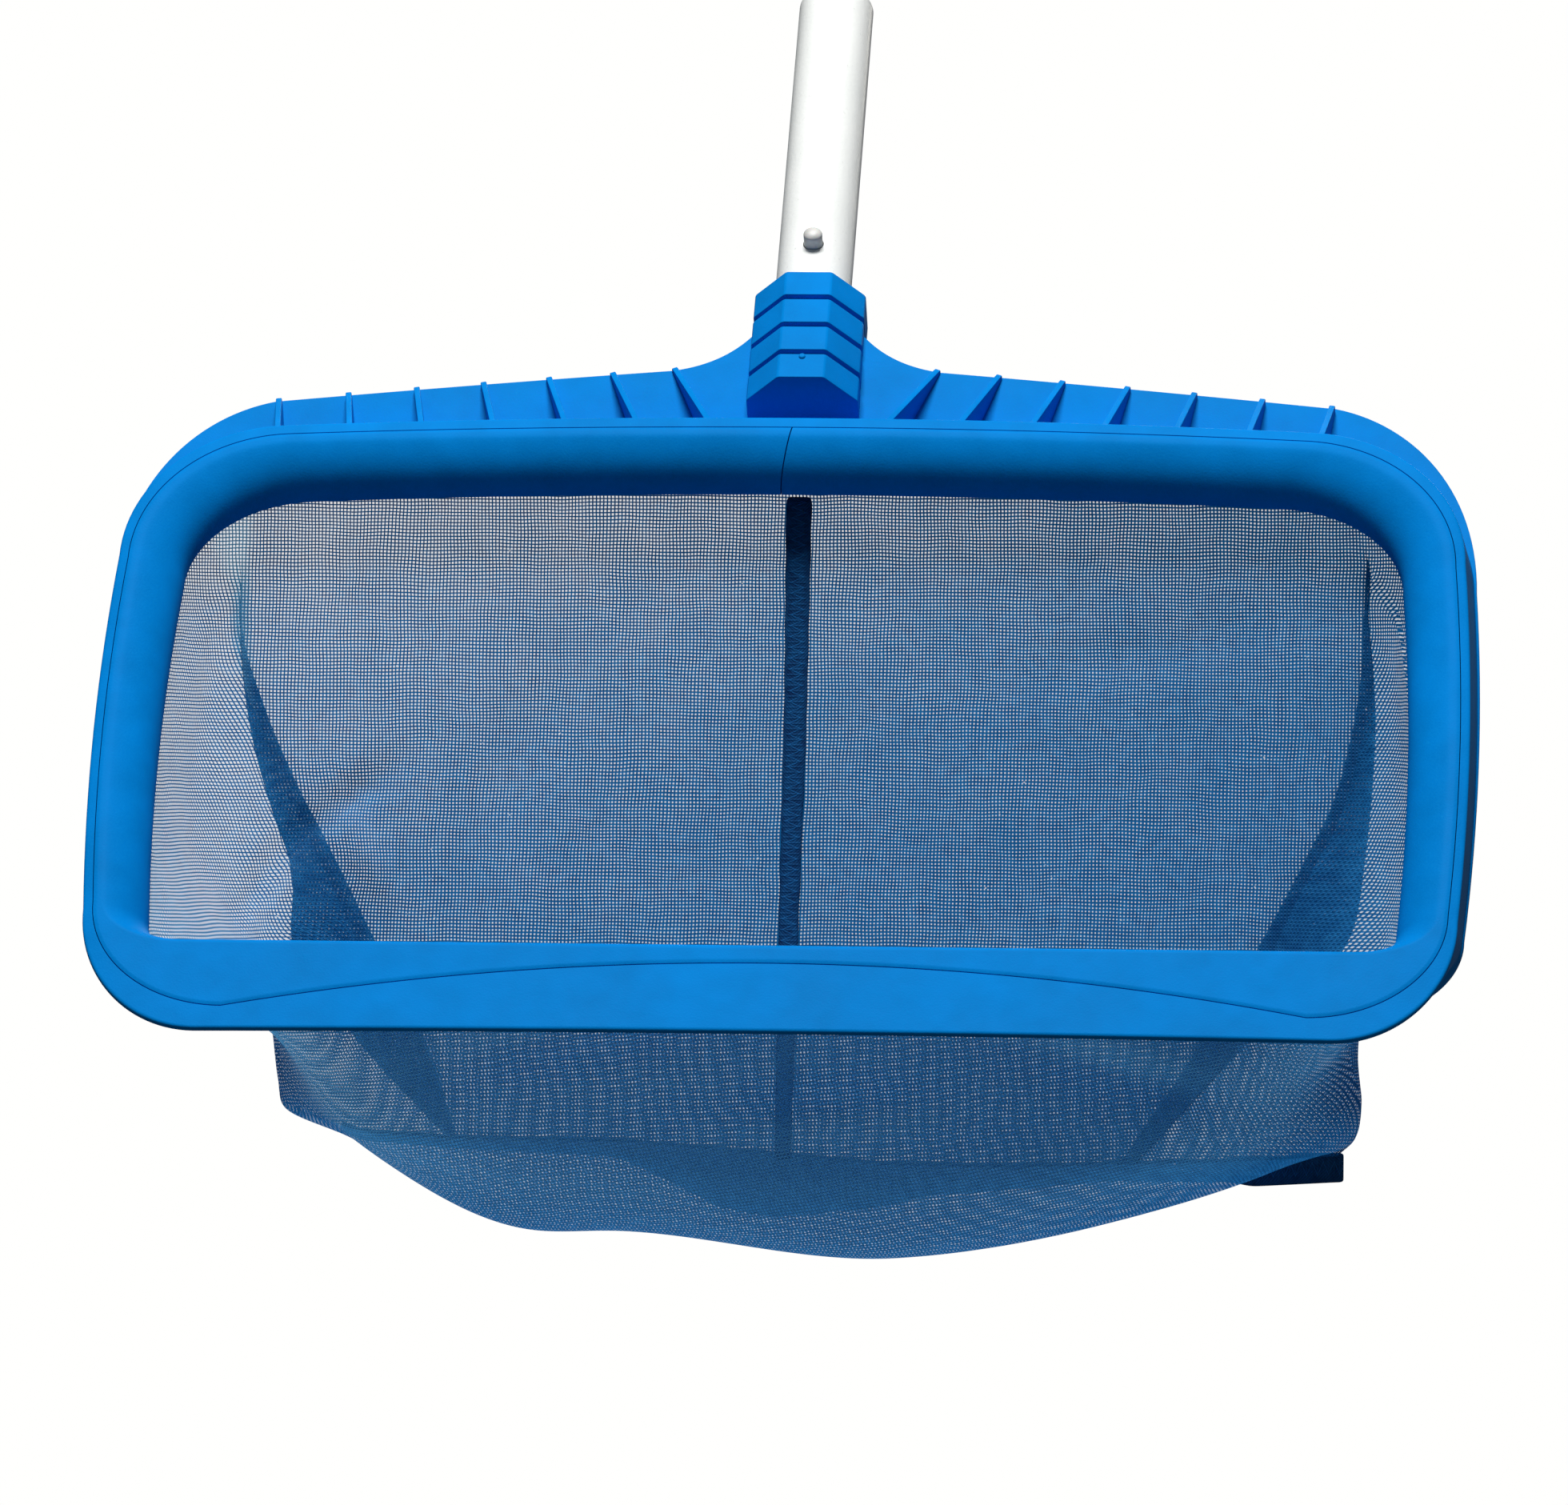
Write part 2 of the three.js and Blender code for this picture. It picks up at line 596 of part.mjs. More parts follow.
const bluePlastic = new THREE.MeshStandardMaterial({ color: 0x0a78d2, roughness: 0.5, metalness: 0 });
const whiteTube = new THREE.MeshStandardMaterial({ color: 0xf4f4ee, roughness: 0.35, metalness: 0 });
const steel = new THREE.MeshStandardMaterial({ color: 0xb9bcc0, roughness: 0.3, metalness: 1 });
const greyNylon = new THREE.MeshStandardMaterial({ color: 0xcfd0cc, roughness: 0.45, metalness: 0 });
const blueNet = new THREE.MeshStandardMaterial({ color: 0x5f7fae, roughness: 0.8, metalness: 0 });
const blueTape = new THREE.MeshStandardMaterial({ color: 0x1c4f94, roughness: 0.85, metalness: 0 });

const part = new THREE.Group();
const head = new THREE.Group();
head.rotation.x = -FRAME_LEAN;
head.position.copy(headOffset);
part.add(head);
head.add(mesh('rear_frame', rearFrameGeometry(), bluePlastic));
head.add(mesh('front_bezel', bezelGeometry(), bluePlastic));
head.add(mesh('bag_hem', hemGeometry(), blueTape));
head.add(mesh('hem_cord', hemCordGeometry(), greyNylon));
screwPlaces().forEach(([x, v], i) => {
  const screw = mesh(`bezel_screw_${String(i + 1).padStart(2, '0')}`, screwGeometry(15), steel);
  screw.rotation.x = Math.PI / 2;
  screw.position.set(x, DEPTH + GAP, v);
  head.add(screw);
});

const handle = new THREE.Group();
handle.rotation.x = -FRAME_LEAN - HANDLE_TILT;
part.add(handle);
handle.add(mesh('handle_tube', tubeGeometry(), whiteTube));
handle.add(mesh('clip_spring', clipGeometry(), steel));
const frontButton = mesh('clip_button_front', buttonGeometry(), greyNylon);
frontButton.position.z = BUTTON_UP;
handle.add(frontButton);
const rearButton = mesh('clip_button_rear', buttonGeometry(), greyNylon);
rearButton.position.z = BUTTON_UP;
rearButton.rotation.z = Math.PI;
handle.add(rearButton);
HANDLE_SCREWS.forEach((z, i) => {
  const screw = mesh(`handle_screw_${i + 1}`, screwGeometry(9), steel);
  screw.rotation.x = Math.PI / 2;
  screw.position.set(0, COLLAR_FLATS / 2 + GAP, z);
  handle.add(screw);
});

part.add(mesh('mesh_bag', bagGeometry(), blueNet));
part.add(mesh('back_seam_tape', backSeamGeometry(), blueTape));
part.add(mesh('bottom_seam_tape', bottomSeamGeometry(), blueTape));

export default part;
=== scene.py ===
"""Looks for the leaf skimmer head: a moulded two-piece frame, a tube handle with a
sprung button clip, and a net bag. Shapes are worked out in millimetres and made in metres.
"""
import math

import bmesh
import bpy
import numpy as np
from mathutils import Matrix, Vector


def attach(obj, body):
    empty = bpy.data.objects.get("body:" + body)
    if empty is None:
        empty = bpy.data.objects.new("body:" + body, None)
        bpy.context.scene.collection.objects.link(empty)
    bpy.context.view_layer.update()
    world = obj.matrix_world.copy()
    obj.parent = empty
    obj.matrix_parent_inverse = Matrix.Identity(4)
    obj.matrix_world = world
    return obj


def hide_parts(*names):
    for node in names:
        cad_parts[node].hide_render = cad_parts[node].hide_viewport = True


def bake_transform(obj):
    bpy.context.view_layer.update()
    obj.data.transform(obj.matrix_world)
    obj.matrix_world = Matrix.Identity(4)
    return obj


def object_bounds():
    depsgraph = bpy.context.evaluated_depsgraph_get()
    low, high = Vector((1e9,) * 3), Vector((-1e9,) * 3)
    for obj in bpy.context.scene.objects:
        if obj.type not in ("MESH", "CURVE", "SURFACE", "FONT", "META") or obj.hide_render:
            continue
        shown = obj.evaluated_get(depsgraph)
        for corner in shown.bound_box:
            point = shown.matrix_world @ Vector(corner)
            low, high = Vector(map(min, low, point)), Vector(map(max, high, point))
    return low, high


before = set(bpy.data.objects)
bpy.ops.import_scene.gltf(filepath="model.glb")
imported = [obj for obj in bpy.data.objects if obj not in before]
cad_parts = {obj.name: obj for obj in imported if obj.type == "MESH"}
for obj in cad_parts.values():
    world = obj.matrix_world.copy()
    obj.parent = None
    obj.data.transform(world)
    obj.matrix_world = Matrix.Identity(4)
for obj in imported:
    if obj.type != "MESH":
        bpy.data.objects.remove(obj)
CAD_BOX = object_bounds()
MM = 0.001

# The camera, and what it takes in at the object's distance.
CAMERA_AZIMUTH = math.radians(4.3)
CAMERA_ROLL = math.radians(0.55)
CAMERA_DISTANCE = 3.4
CAMERA_AIM = Vector((0.0017, -0.1271, -0.1473))
VIEW_WIDTH = 0.505
SENSOR = 36.0

# Frame sizes, as in the CAD source, in millimetres.
FRAME_LEAN = math.radians(35)
HANDLE_TILT = math.radians(9)
SEAT_UP = 304.3
SEAT_BACK = 25.9
DEPTH = 22.0
SIDE_BOW = 2.6
PLATE = 2.5
WALL = 2.5
GAP = 0.3
SEAM_GAP = 0.11
BOWL_DEPTH = 14.0
BOWL_START = math.radians(20)
COLLAR_FLATS = 37.0
COLLAR_LENGTH = 50.5
COLLAR_BANDS = 4
BAND_GROOVE = 2.1
BAND_GROOVE_DEPTH = 2.0
TUBE_RADIUS = 12.7
TUBE_WALL = 1.6
TUBE_ABOVE_SEAT = 150.0
TUBE_IN_COLLAR = 44.0
BUTTON_RADIUS = 3.175
BUTTON_UP = 20.0
BUTTON_PROUD = 5.5
RIBS_PER_SIDE = 7
RIB_FIRST = 29.7
RIB_PITCH = 23.7
RIB_THICKNESS = 2.0
RIB_LEAN_INNER = 22.5
RIB_LEAN_OUTER = 7.0
SCREW_HEAD_RADIUS = 3.2
SCREW_SHANK_RADIUS = 1.5
SCREW_HOLE = SCREW_SHANK_RADIUS + GAP
HANDLE_SCREWS = (-14.0, -33.0)
BOSS_RADIUS = 2.6
BOSS_TOP = 2.0
BAG_RISE = 3.0
CHANNEL_BOTTOM = 22.4
INNER_WALL = 31.8
WALL_INSET = 11.8
WELD = 0.002
FORWARD, BACK = 1, -1
SCREW_PLACES = [(side * x, v)
                for x, v in ((62, 233.4), (150, 230.6), (212.2, 160), (212.2, 75),
                             (150, 26), (58, 26))
                for side in (1, -1)]

# Outlines of the frame, from the outside in: each is the right half of a closed rail.
GROOVE = dict(top=237, crown=4.2, shoulder=168, high=216.7, highV=182,
              low=216.2, lowV=46, toe=172, bottom=6.6, arch=25)
EDGE = dict(top=241.5, crown=4.6, shoulder=170, high=219.7, highV=184,
            low=219.2, lowV=44, toe=180, bottom=-1.8, arch=-0.6)
FOOT = dict(top=242.8, crown=4.8, shoulder=171, high=222.4, highV=186,
            low=220.6, lowV=50, toe=184, bottom=20)
FLANGE = dict(top=278.7, crown=18, bend=271, shoulder=176, slope=0.24, high=223.4, highV=186,
              low=221.2, lowV=50, toe=184, bottom=19.8)
BOWL = dict(top=220.2, crown=4.4, shoulder=160, high=199.6, highV=180,
            low=199.6, lowV=46, toe=190, bottom=36)
SPLIT = (8, 7, 4, 7, 10)
FINE = 4
KAPPA = 0.5523

HEAD_TURN = Matrix.Rotation(-FRAME_LEAN, 4, "X")
HEAD = Matrix.Translation(-(HEAD_TURN @ Vector((0, SEAT_BACK, SEAT_UP)))) @ HEAD_TURN
HANDLE = Matrix.Rotation(-FRAME_LEAN - HANDLE_TILT, 4, "X")


# ---------------------------------------------------------------- meshes

def lerp(a, b, share):
    return a + (b - a) * share


def smoothstep(x, low, high):
    share = np.clip((x - low) / (high - low), 0, 1)
    return share * share * (3 - 2 * share)


def moved(points, matrix):
    """Points, as an array, taken through a matrix."""
    m = np.array(matrix)
    return np.asarray(points, float) @ m[:3, :3].T + m[:3, 3]


def pointing(x, y, z, way):
    """A place on the part, with local Z turned forward or back."""
    return Matrix.Translation((x, y, z)) @ Matrix.Rotation(way * math.pi / 2, 4, "X")


def added(name, data):
    """A new object in the scene."""
    thing = bpy.data.objects.new(name, data)
    bpy.context.scene.collection.objects.link(thing)
    return thing


def new_mesh(name, points, faces):
    """A mesh from an array of points in millimetres."""
    data = bpy.data.meshes.new(name)
    data.from_pydata([tuple(p) for p in points.reshape(-1, 3) * MM], [], faces)
    data.update()
    return data


def edited(thing, change):
    """An object whose mesh a function has worked on."""
    work = bmesh.new()
    work.from_mesh(thing.data)
    change(work)
    work.to_mesh(thing.data)
    work.free()
    return thing


def new_object(name, vertices, faces, matrix, smooth=True):
    """A welded object from points in millimetres, its faces turned outward."""
    def clean(work):
        bmesh.ops.remove_doubles(work, verts=work.verts, dist=WELD * MM)
        bmesh.ops.recalc_face_normals(work, faces=work.faces)
        for face in work.faces:
            face.smooth = smooth

    return edited(added(name, new_mesh(name, moved(vertices, matrix), faces)), clean)


def grid_faces(rows, columns, wrap_rows=False, wrap_columns=False):
    """Quads over a grid of points stored row by row."""
    faces = []
    for r in range(rows if wrap_rows else rows - 1):
        below = (r + 1) % rows
        for c in range(columns if wrap_columns else columns - 1):
            after = (c + 1) % columns
            faces.append((r * columns + c, r * columns + after,
                          below * columns + after, below * columns + c))
    return faces


def baked(thing):
    """Replaces an object's mesh by what its modifiers make of it."""
    graph = bpy.context.evaluated_depsgraph_get()
    result = bpy.data.meshes.new_from_object(thing.evaluated_get(graph))
    old = thing.data
    thing.modifiers.clear()
    thing.data = result
    result.name = thing.name
    bpy.data.meshes.remove(old)
    return thing


def joined(name, things):
    """One object from several, which are used up."""
    work = bmesh.new()
    for thing in things:
        work.from_mesh(thing.data)
        bpy.data.objects.remove(thing)
    data = bpy.data.meshes.new(name)
    work.to_mesh(data)
    work.free()
    return added(name, data)


def combined(thing, other, operation):
    """Exact boolean of two objects; the second is used up."""
    step = thing.modifiers.new("boolean", "BOOLEAN")
    step.operation = operation
    step.solver = "EXACT"
    step.object = other
    baked(thing)
    bpy.data.objects.remove(other)
    return thing


def sharpened(thing, degrees=32.0):
    """Smooth shading that breaks at edges sharper than an angle."""
    def mark(work):
        for edge in work.edges:
            edge.smooth = (len(edge.link_faces) == 2
                           and edge.calc_face_angle(0) < math.radians(degrees))
        for face in work.faces:
            face.smooth = True

    edited(thing, mark)
    weigh = thing.modifiers.new("weights", "WEIGHTED_NORMAL")
    weigh.keep_sharp = True
    return baked(thing)


def bevelled(thing, width, segments=2, degrees=30.0):
    """Rounds an object's sharp edges."""
    def cut(work):
        sharp = [e for e in work.edges if len(e.link_faces) == 2
                 and e.calc_face_angle(0) > math.radians(degrees)]
        bmesh.ops.bevel(work, geom=sharp, offset=width * MM, offset_type="OFFSET",
                        segments=segments, profile=0.5, affect="EDGES", clamp_overlap=True)

    return edited(thing, cut)


def softened(thing):
    """Subdivides an object once, smoothly."""
    step = thing.modifiers.new("soften", "SUBSURF")
    step.levels = step.render_levels = 1
    return baked(thing)


def revolved(name, profile, segments, matrix):
    """A turned shape about Z from (radius, height) points, closed where the radius is zero."""
    angles = np.linspace(0, 2 * math.pi, segments, endpoint=False)
    rows = [np.stack([r * np.cos(angles), r * np.sin(angles), np.full(segments, z)], 1)
            for r, z in profile]
    closed = profile[0] == profile[-1]
    if closed:
        rows = rows[:-1]
    faces = grid_faces(len(rows), segments, wrap_rows=closed, wrap_columns=True)

    def close(work):
        bmesh.ops.holes_fill(work, edges=[e for e in work.edges if e.is_boundary])
        bmesh.ops.recalc_face_normals(work, faces=work.faces)

    return edited(new_object(name, np.concatenate(rows), faces, matrix), close)


def extruded(name, outline, thickness, matrix):
    """A plate from an outline in X and Y, from z = 0 to the thickness."""
    count = len(outline)
    low = [(x, y, 0) for x, y in outline]
    high = [(x, y, thickness) for x, y in outline]
    faces = [tuple(range(count)), tuple(range(2 * count - 1, count - 1, -1))]
    faces += [(i, (i + 1) % count, count + (i + 1) % count, count + i) for i in range(count)]
    return new_object(name, low + high, faces, matrix, smooth=False)


def bezier(points, steps):
    """A quadratic or cubic Bezier curve, its first point left out."""
    t = np.arange(1, steps + 1)[:, None] / steps
    p = np.asarray(points, float)
    if len(p) == 3:
        return (1 - t) ** 2 * p[0] + 2 * t * (1 - t) * p[1] + t ** 2 * p[2]
    return ((1 - t) ** 3 * p[0] + 3 * t * (1 - t) ** 2 * p[1]
            + 3 * t ** 2 * (1 - t) * p[2] + t ** 3 * p[3])


# ---------------------------------------------------------------- rails round the frame

def half_rail(r):
    """An outline's right half, from top centre to bottom centre, as (x, v)."""
    steps = [s * FINE for s in SPLIT]
    shoulder_v = r["top"] - r["crown"]
    out = (r["high"] - r["shoulder"]) * KAPPA
    up = (shoulder_v - r["highV"]) * KAPPA
    fall = r.get("slope", 0.06) * out
    down = (r["lowV"] - r["bottom"]) * KAPPA
    inward = (r["low"] - r["toe"]) * KAPPA
    arch = r.get("arch", r["bottom"])
    start = (0, r["top"])
    shoulder = (r["shoulder"], shoulder_v)
    high = (r["high"], r["highV"])
    low = (r["low"], r["lowV"])
    toe = (r["toe"], r["bottom"])
    bow = ((r["high"] + r["low"]) / 2 + 2 * SIDE_BOW, (r["highV"] + r["lowV"]) / 2)
    return np.concatenate([
        [start],
        bezier([start, (r["shoulder"] / 2, r.get("bend", r["top"])), shoulder], steps[0]),
        bezier([shoulder, (r["shoulder"] + out, shoulder_v - fall),
                (r["high"], r["highV"] + up), high], steps[1]),
        bezier([high, bow, low], steps[2]),
        bezier([low, (r["low"], r["lowV"] - down), (r["toe"] + inward, r["bottom"]), toe],
               steps[3]),
        bezier([toe, (r["toe"] / 2, arch), (0, arch)], steps[4]),
    ])


HALF = sum(SPLIT) * FINE
STATIONS = 2 * HALF


def rail(shape, w, w_bar=None):
    """A whole outline at depth w (w_bar on the bottom bar), in the head's own axes."""
    half = half_rail(shape)
    start = sum(SPLIT[:3]) * FINE
    share = smoothstep(np.arange(HALF + 1), start, start + SPLIT[3] * FINE)
    depth = lerp(w, w if w_bar is None else w_bar, share)
    right = np.stack([half[:, 0], -depth, half[:, 1]], 1)
    left = right[1:HALF][::-1] * (-1, 1, 1)
    return np.concatenate([right, left])


def inset(shape, n, bottom, arch=None):
    """An outline moved inward by n on the top and sides, with its own bottom edge."""
    return {**shape, "top": shape["top"] - n, "shoulder": shape["shoulder"] - n * 0.4,
            "high": shape["high"] - n, "highV": shape["highV"] - n * 0.1,
            "low": shape["low"] - n, "bottom": bottom, "arch": bottom if arch is None else arch}


def bag_side(n, bottom):
    """The groove's outline moved inward by n for the wall that holds the bag."""
    shape = inset(GROOVE, n, bottom)
    return {**shape, "top": shape["top"] + BAG_RISE}


def between(a, b, share, bottom):
    """An outline between two others, with its own bottom edge."""
    keys = ("top", "crown", "shoulder", "high", "highV", "low", "lowV", "toe")
    return {**{k: lerp(a[k], b[k], share) for k in keys}, "bottom": bottom, "arch": bottom}


def rounded_ring(name, corners, steps=3):
    """A closed ring from (rail, corner radius) pairs in order round its section."""
    rows = []
    count = len(corners)
    for k, (here, radius) in enumerate(corners):
        if radius == 0:
            rows.append(here)
            continue
        before, after = corners[k - 1][0], corners[(k + 1) % count][0]
        ends = []
        for other in (before, after):
            reach = other - here
            length = np.maximum(np.linalg.norm(reach, axis=1, keepdims=True), 1e-6)
            ends.append(here + reach / length * np.minimum(radius, length * 0.45))
        for t in np.linspace(0, 1, steps + 1):
            rows.append((1 - t) ** 2 * ends[0] + 2 * t * (1 - t) * here + t ** 2 * ends[1])
    faces = grid_faces(len(rows), STATIONS, wrap_rows=True, wrap_columns=True)
    return new_object(name, np.concatenate(rows), faces, HEAD)


def top_height(shape, x):
    """Height of an outline's top edge at x."""
    half = half_rail(shape)[: (SPLIT[0] + SPLIT[1]) * FINE]
    return float(np.interp(x, half[:, 0], half[:, 1]))


# ---------------------------------------------------------------- the moulded frame

def channel_ring():
    """The rear half's channel and flange, one ring with softened edges."""
    floor = -(DEPTH - PLATE)
    inner_wall = bag_side(WALL_INSET, INNER_WALL)
    inner_face = bag_side(14, INNER_WALL + 2.2)
    land = inset(GROOVE, -SEAM_GAP, GROOVE["bottom"] - SEAM_GAP, GROOVE["arch"] - SEAM_GAP)
    shoulder = {**EDGE, "top": 241.8, "high": 220, "low": 219.4, "bottom": -2.4, "arch": -1.2}
    return rounded_ring("frame_rear", [
        (rail(land, -0.3), 0.25),
        (rail(EDGE, -0.9, -0.3), 1.1),
        (rail(shoulder, -2.2), 0.9),
        (rail(FOOT, floor, -5), 0.8),
        (rail(FLANGE, floor, floor), 0.6),
        (rail(FLANGE, -DEPTH), 0.6),
        (rail(inner_face, -DEPTH), 0.5),
        (rail(inner_face, -17), 0.4),
        (rail(inner_wall, -17), 0.4),
        (rail(inner_wall, floor), 0.4),
        (rail(inset(FOOT, WALL, CHANNEL_BOTTOM), floor), 0.4),
        (rail(inset(EDGE, WALL, CHANNEL_BOTTOM), -2.6), 0.4),
        (rail(land, -2.6), 0),
    ])


def octagon_radius(angle, corner_trim=0.35):
    """Distance from the axis to a unit octagon's side at an angle, its corners eased."""
    off = (angle + math.pi / 8) % (math.pi / 4) - math.pi / 8
    plain = 1 / np.cos(off)
    return np.minimum(plain, 1 / math.cos(math.pi / 8) * (1 - corner_trim / COLLAR_FLATS))


def collar():
    """The octagonal collar with its bands, bored for the tube."""
    per_side = (-22.5, -21.7, -20.8, -14, -7, 0, 7, 14, 20.8, 21.7)
    angles = np.radians([side * 45 + off for side in range(8) for off in per_side])
    octagon = octagon_radius(angles)
    apothem = COLLAR_FLATS / 2
    ease = 0.45
    pitch = (COLLAR_LENGTH + BAND_GROOVE) / COLLAR_BANDS
    outer = []
    for band in range(COLLAR_BANDS):
        high = -band * pitch
        low = high - pitch + BAND_GROOVE
        if band:
            outer.append((apothem - BAND_GROOVE_DEPTH, high))
        outer += [(apothem - ease, high), (apothem - ease * 0.3, high - ease * 0.3),
                  (apothem, high - ease), (apothem, low + ease),
                  (apothem - ease * 0.3, low + ease * 0.3), (apothem - ease, low)]
        if band < COLLAR_BANDS - 1:
            outer.append((apothem - BAND_GROOVE_DEPTH, low))
    bore = TUBE_RADIUS + GAP
    depth = TUBE_IN_COLLAR + GAP
    rows = []
    for radius, z in [(0.01, -depth), (bore, -depth), (bore, -0.6), (bore + 0.6, 0)]:
        rows.append(np.stack([radius * np.sin(angles), -radius * np.cos(angles),
                              np.full(len(angles), z)], 1))
    for radius, z in outer + [(0.01, -COLLAR_LENGTH)]:
        rows.append(np.stack([radius * octagon * np.sin(angles), -radius * octagon * np.cos(angles),
                              np.full(len(angles), z)], 1))
    count = len(angles)
    points = np.concatenate(rows)
    faces = grid_faces(len(rows), count, wrap_columns=True)
    faces += [tuple(range(count)), tuple(range(len(points) - count, len(points)))]
    return new_object("collar", points, faces, HANDLE)


def gate_pip():
    """The moulding gate's small stub on the collar's lowest band."""
    pip = [(0.01, -1.0), (1.1, -1.0), (1.1, 0.35), (0.8, 0.6), (0.01, 0.6)]
    band = -(COLLAR_LENGTH + BAND_GROOVE) * (1 - 0.9 / COLLAR_BANDS)
    return revolved("pip", pip, 24, HANDLE @ pointing(0, -COLLAR_FLATS / 2, band, FORWARD))


def wings():
    """The concave flares between the flange and the collar."""
    right = [(60, 236), (60, 272.8), (46, 274.4)]
    flare = bezier([(46, 274.4), (34, 276.2), (25, 281.2), (18, 290.2)], 16)
    outline = right + [tuple(p) for p in flare]
    outline += [(-x, v) for x, v in reversed(outline)]
    plate = extruded("wings", outline, PLATE, HEAD @ pointing(0, DEPTH, 0, FORWARD))
    return bevelled(plate, 0.5)


def rib(index, side):
    """A fin on the flange, from the ring's lip to the flange's edge."""
    share = 1 - index / (RIBS_PER_SIDE - 1)
    lean = math.radians(lerp(RIB_LEAN_OUTER, RIB_LEAN_INNER, share ** 1.5))
    base_x = RIB_FIRST + RIB_PITCH * index
    base_v = top_height(EDGE, base_x) - 0.6
    run = (top_height(FLANGE, base_x + 5) - base_v) / math.cos(lean) - 0.6
    tip = 1 + 1.8 * (1 - share)
    root = DEPTH - PLATE - 1.8
    profile = [(0, -1), (run, -1), (run, tip), (run - 1.5, tip + 0.9), (1, root), (0, root)]
    along = Vector((math.sin(lean) * side, 0, math.cos(lean)))
    forward = Vector((0, -1, 0))
    across = along.cross(forward)
    turn = Matrix((along, forward, across)).transposed().to_4x4()
    place = Matrix.Translation((side * base_x, DEPTH - PLATE, base_v))
    centred = Matrix.Translation((0, 0, -RIB_THICKNESS / 2))
    return bevelled(extruded("rib", profile, RIB_THICKNESS, HEAD @ place @ turn @ centred), 0.35)


def drill(radius, near, far, x, v):
    """A cylinder along the frame's depth."""
    ends = [(radius, near), (radius, far)]
    return revolved("drill", ends, 32, HEAD @ pointing(x, 0, v, BACK))


def handle_drills(near, length):
    """Cylinders for the handle's screws, square to the tube."""
    ends = [(SCREW_HOLE, 0), (SCREW_HOLE, length)]
    return [revolved("drill", ends, 32, HANDLE @ pointing(0, near, z, BACK)) for z in HANDLE_SCREWS]


def make_rear_frame():
    """The rear half in one moulding: channel, wings, fins, collar and gate stub."""
    body = channel_ring()
    body = combined(body, wings(), "UNION")
    fins = [rib(i, side) for i in range(RIBS_PER_SIDE) for side in (1, -1)]
    body = combined(body, joined("fins", fins), "UNION")
    body = combined(body, collar(), "UNION")
    body = combined(body, gate_pip(), "UNION")
    holes = [drill(SCREW_HOLE, DEPTH - PLATE - 1, DEPTH + 1, x, v) for x, v in SCREW_PLACES]
    holes += handle_drills(TUBE_RADIUS - 1, 20)
    body = combined(body, joined("holes", holes), "DIFFERENCE")
    body.name = "frame_rear"
    return sharpened(body)


def make_bezel():
    """The front half: a bead, the bowl down to the bag's lip, and the bar's face."""
    inner = inset(GROOVE, SEAM_GAP, GROOVE["bottom"] + SEAM_GAP, GROOVE["arch"] + SEAM_GAP)
    crest = {**inset(GROOVE, 3.4, 31), "toe": 186}
    arc = []
    for t in np.linspace(0, 1, 13)[1:]:
        angle = lerp(BOWL_START, math.pi / 2, t)
        share = (math.sin(angle) - math.sin(BOWL_START)) / (1 - math.sin(BOWL_START))
        shape = between(crest, BOWL, share, lerp(31, 36, share))
        arc.append((rail(shape, -BOWL_DEPTH * (1 - math.cos(angle) / math.cos(BOWL_START))), 0))
    corners = [
        (rail(inner, -0.3), 0.12),
        (rail(inset(GROOVE, 1.2, GROOVE["bottom"] + 1.2, GROOVE["arch"] + 1.2), 0), 0.5),
        (rail(crest, 0), 1.0),
        *arc,
        (rail(BOWL, -BOWL_DEPTH - 1.2), 0.4),
        (rail(between(crest, BOWL, 0.86, 34.3), -BOWL_DEPTH - 1.2), 0.4),
        (rail(between(crest, BOWL, 0.72, 33.6), -9.5), 0.5),
        (rail(between(crest, BOWL, 0.42, 32.2), -4.8), 0.5),
        (rail(between(crest, BOWL, 0.08, 29.4), -2.4), 0),
        (rail(inner, -2.3), 0),
    ]
    bezel = rounded_ring("frame_bezel", corners)
    bosses = [drill(BOSS_RADIUS, BOSS_TOP, DEPTH - PLATE - 0.6, x, v) for x, v in SCREW_PLACES]
    bezel = combined(bezel, joined("bosses", bosses), "UNION")
    pilots = [drill(SCREW_HOLE, 5, DEPTH, x, v) for x, v in SCREW_PLACES]
    lean = Matrix.Rotation(math.radians(12), 4, "Y")
    place = HEAD @ Matrix.Translation((-3.6, 5, 228)) @ lean @ Matrix.Translation((0, 0, -30))
    slit = extruded("slit", [(-0.2, -15), (0.2, -15), (0.2, 15), (-0.2, 15)], 60, place)
    bezel = combined(bezel, joined("cuts", pilots + [slit]), "DIFFERENCE")
    bezel.name = "frame_bezel"
    return sharpened(bezel)


# ---------------------------------------------------------------- handle, clip and screws

def make_tube():
    """The coated tube, open at both ends, drilled for the buttons and its two screws."""
    inner, outer = TUBE_RADIUS - TUBE_WALL, TUBE_RADIUS
    foot, top = -TUBE_IN_COLLAR, TUBE_ABOVE_SEAT
    profile = [(inner, foot + 0.3), (inner + 0.3, foot), (outer - 0.4, foot),
               (outer - 0.12, foot + 0.12), (outer, foot + 0.4), (outer, top - 0.5),
               (outer - 0.15, top - 0.15), (outer - 0.5, top), (inner + 0.4, top),
               (inner + 0.1, top - 0.1), (inner, top - 0.4), (inner, foot + 0.3)]
    tube = revolved("tube", profile, 96, HANDLE)
    hole = BUTTON_RADIUS + GAP
    across = HANDLE @ pointing(0, 0, BUTTON_UP, FORWARD)
    cuts = [revolved("cut", [(hole, -20), (hole, 20)], 48, across),
            *handle_drills(TUBE_RADIUS - 5, 10)]
    return sharpened(combined(tube, joined("cuts", cuts), "DIFFERENCE"))


BUTTON_INNER = 9.9
BUTTON_TIP = TUBE_RADIUS + BUTTON_PROUD


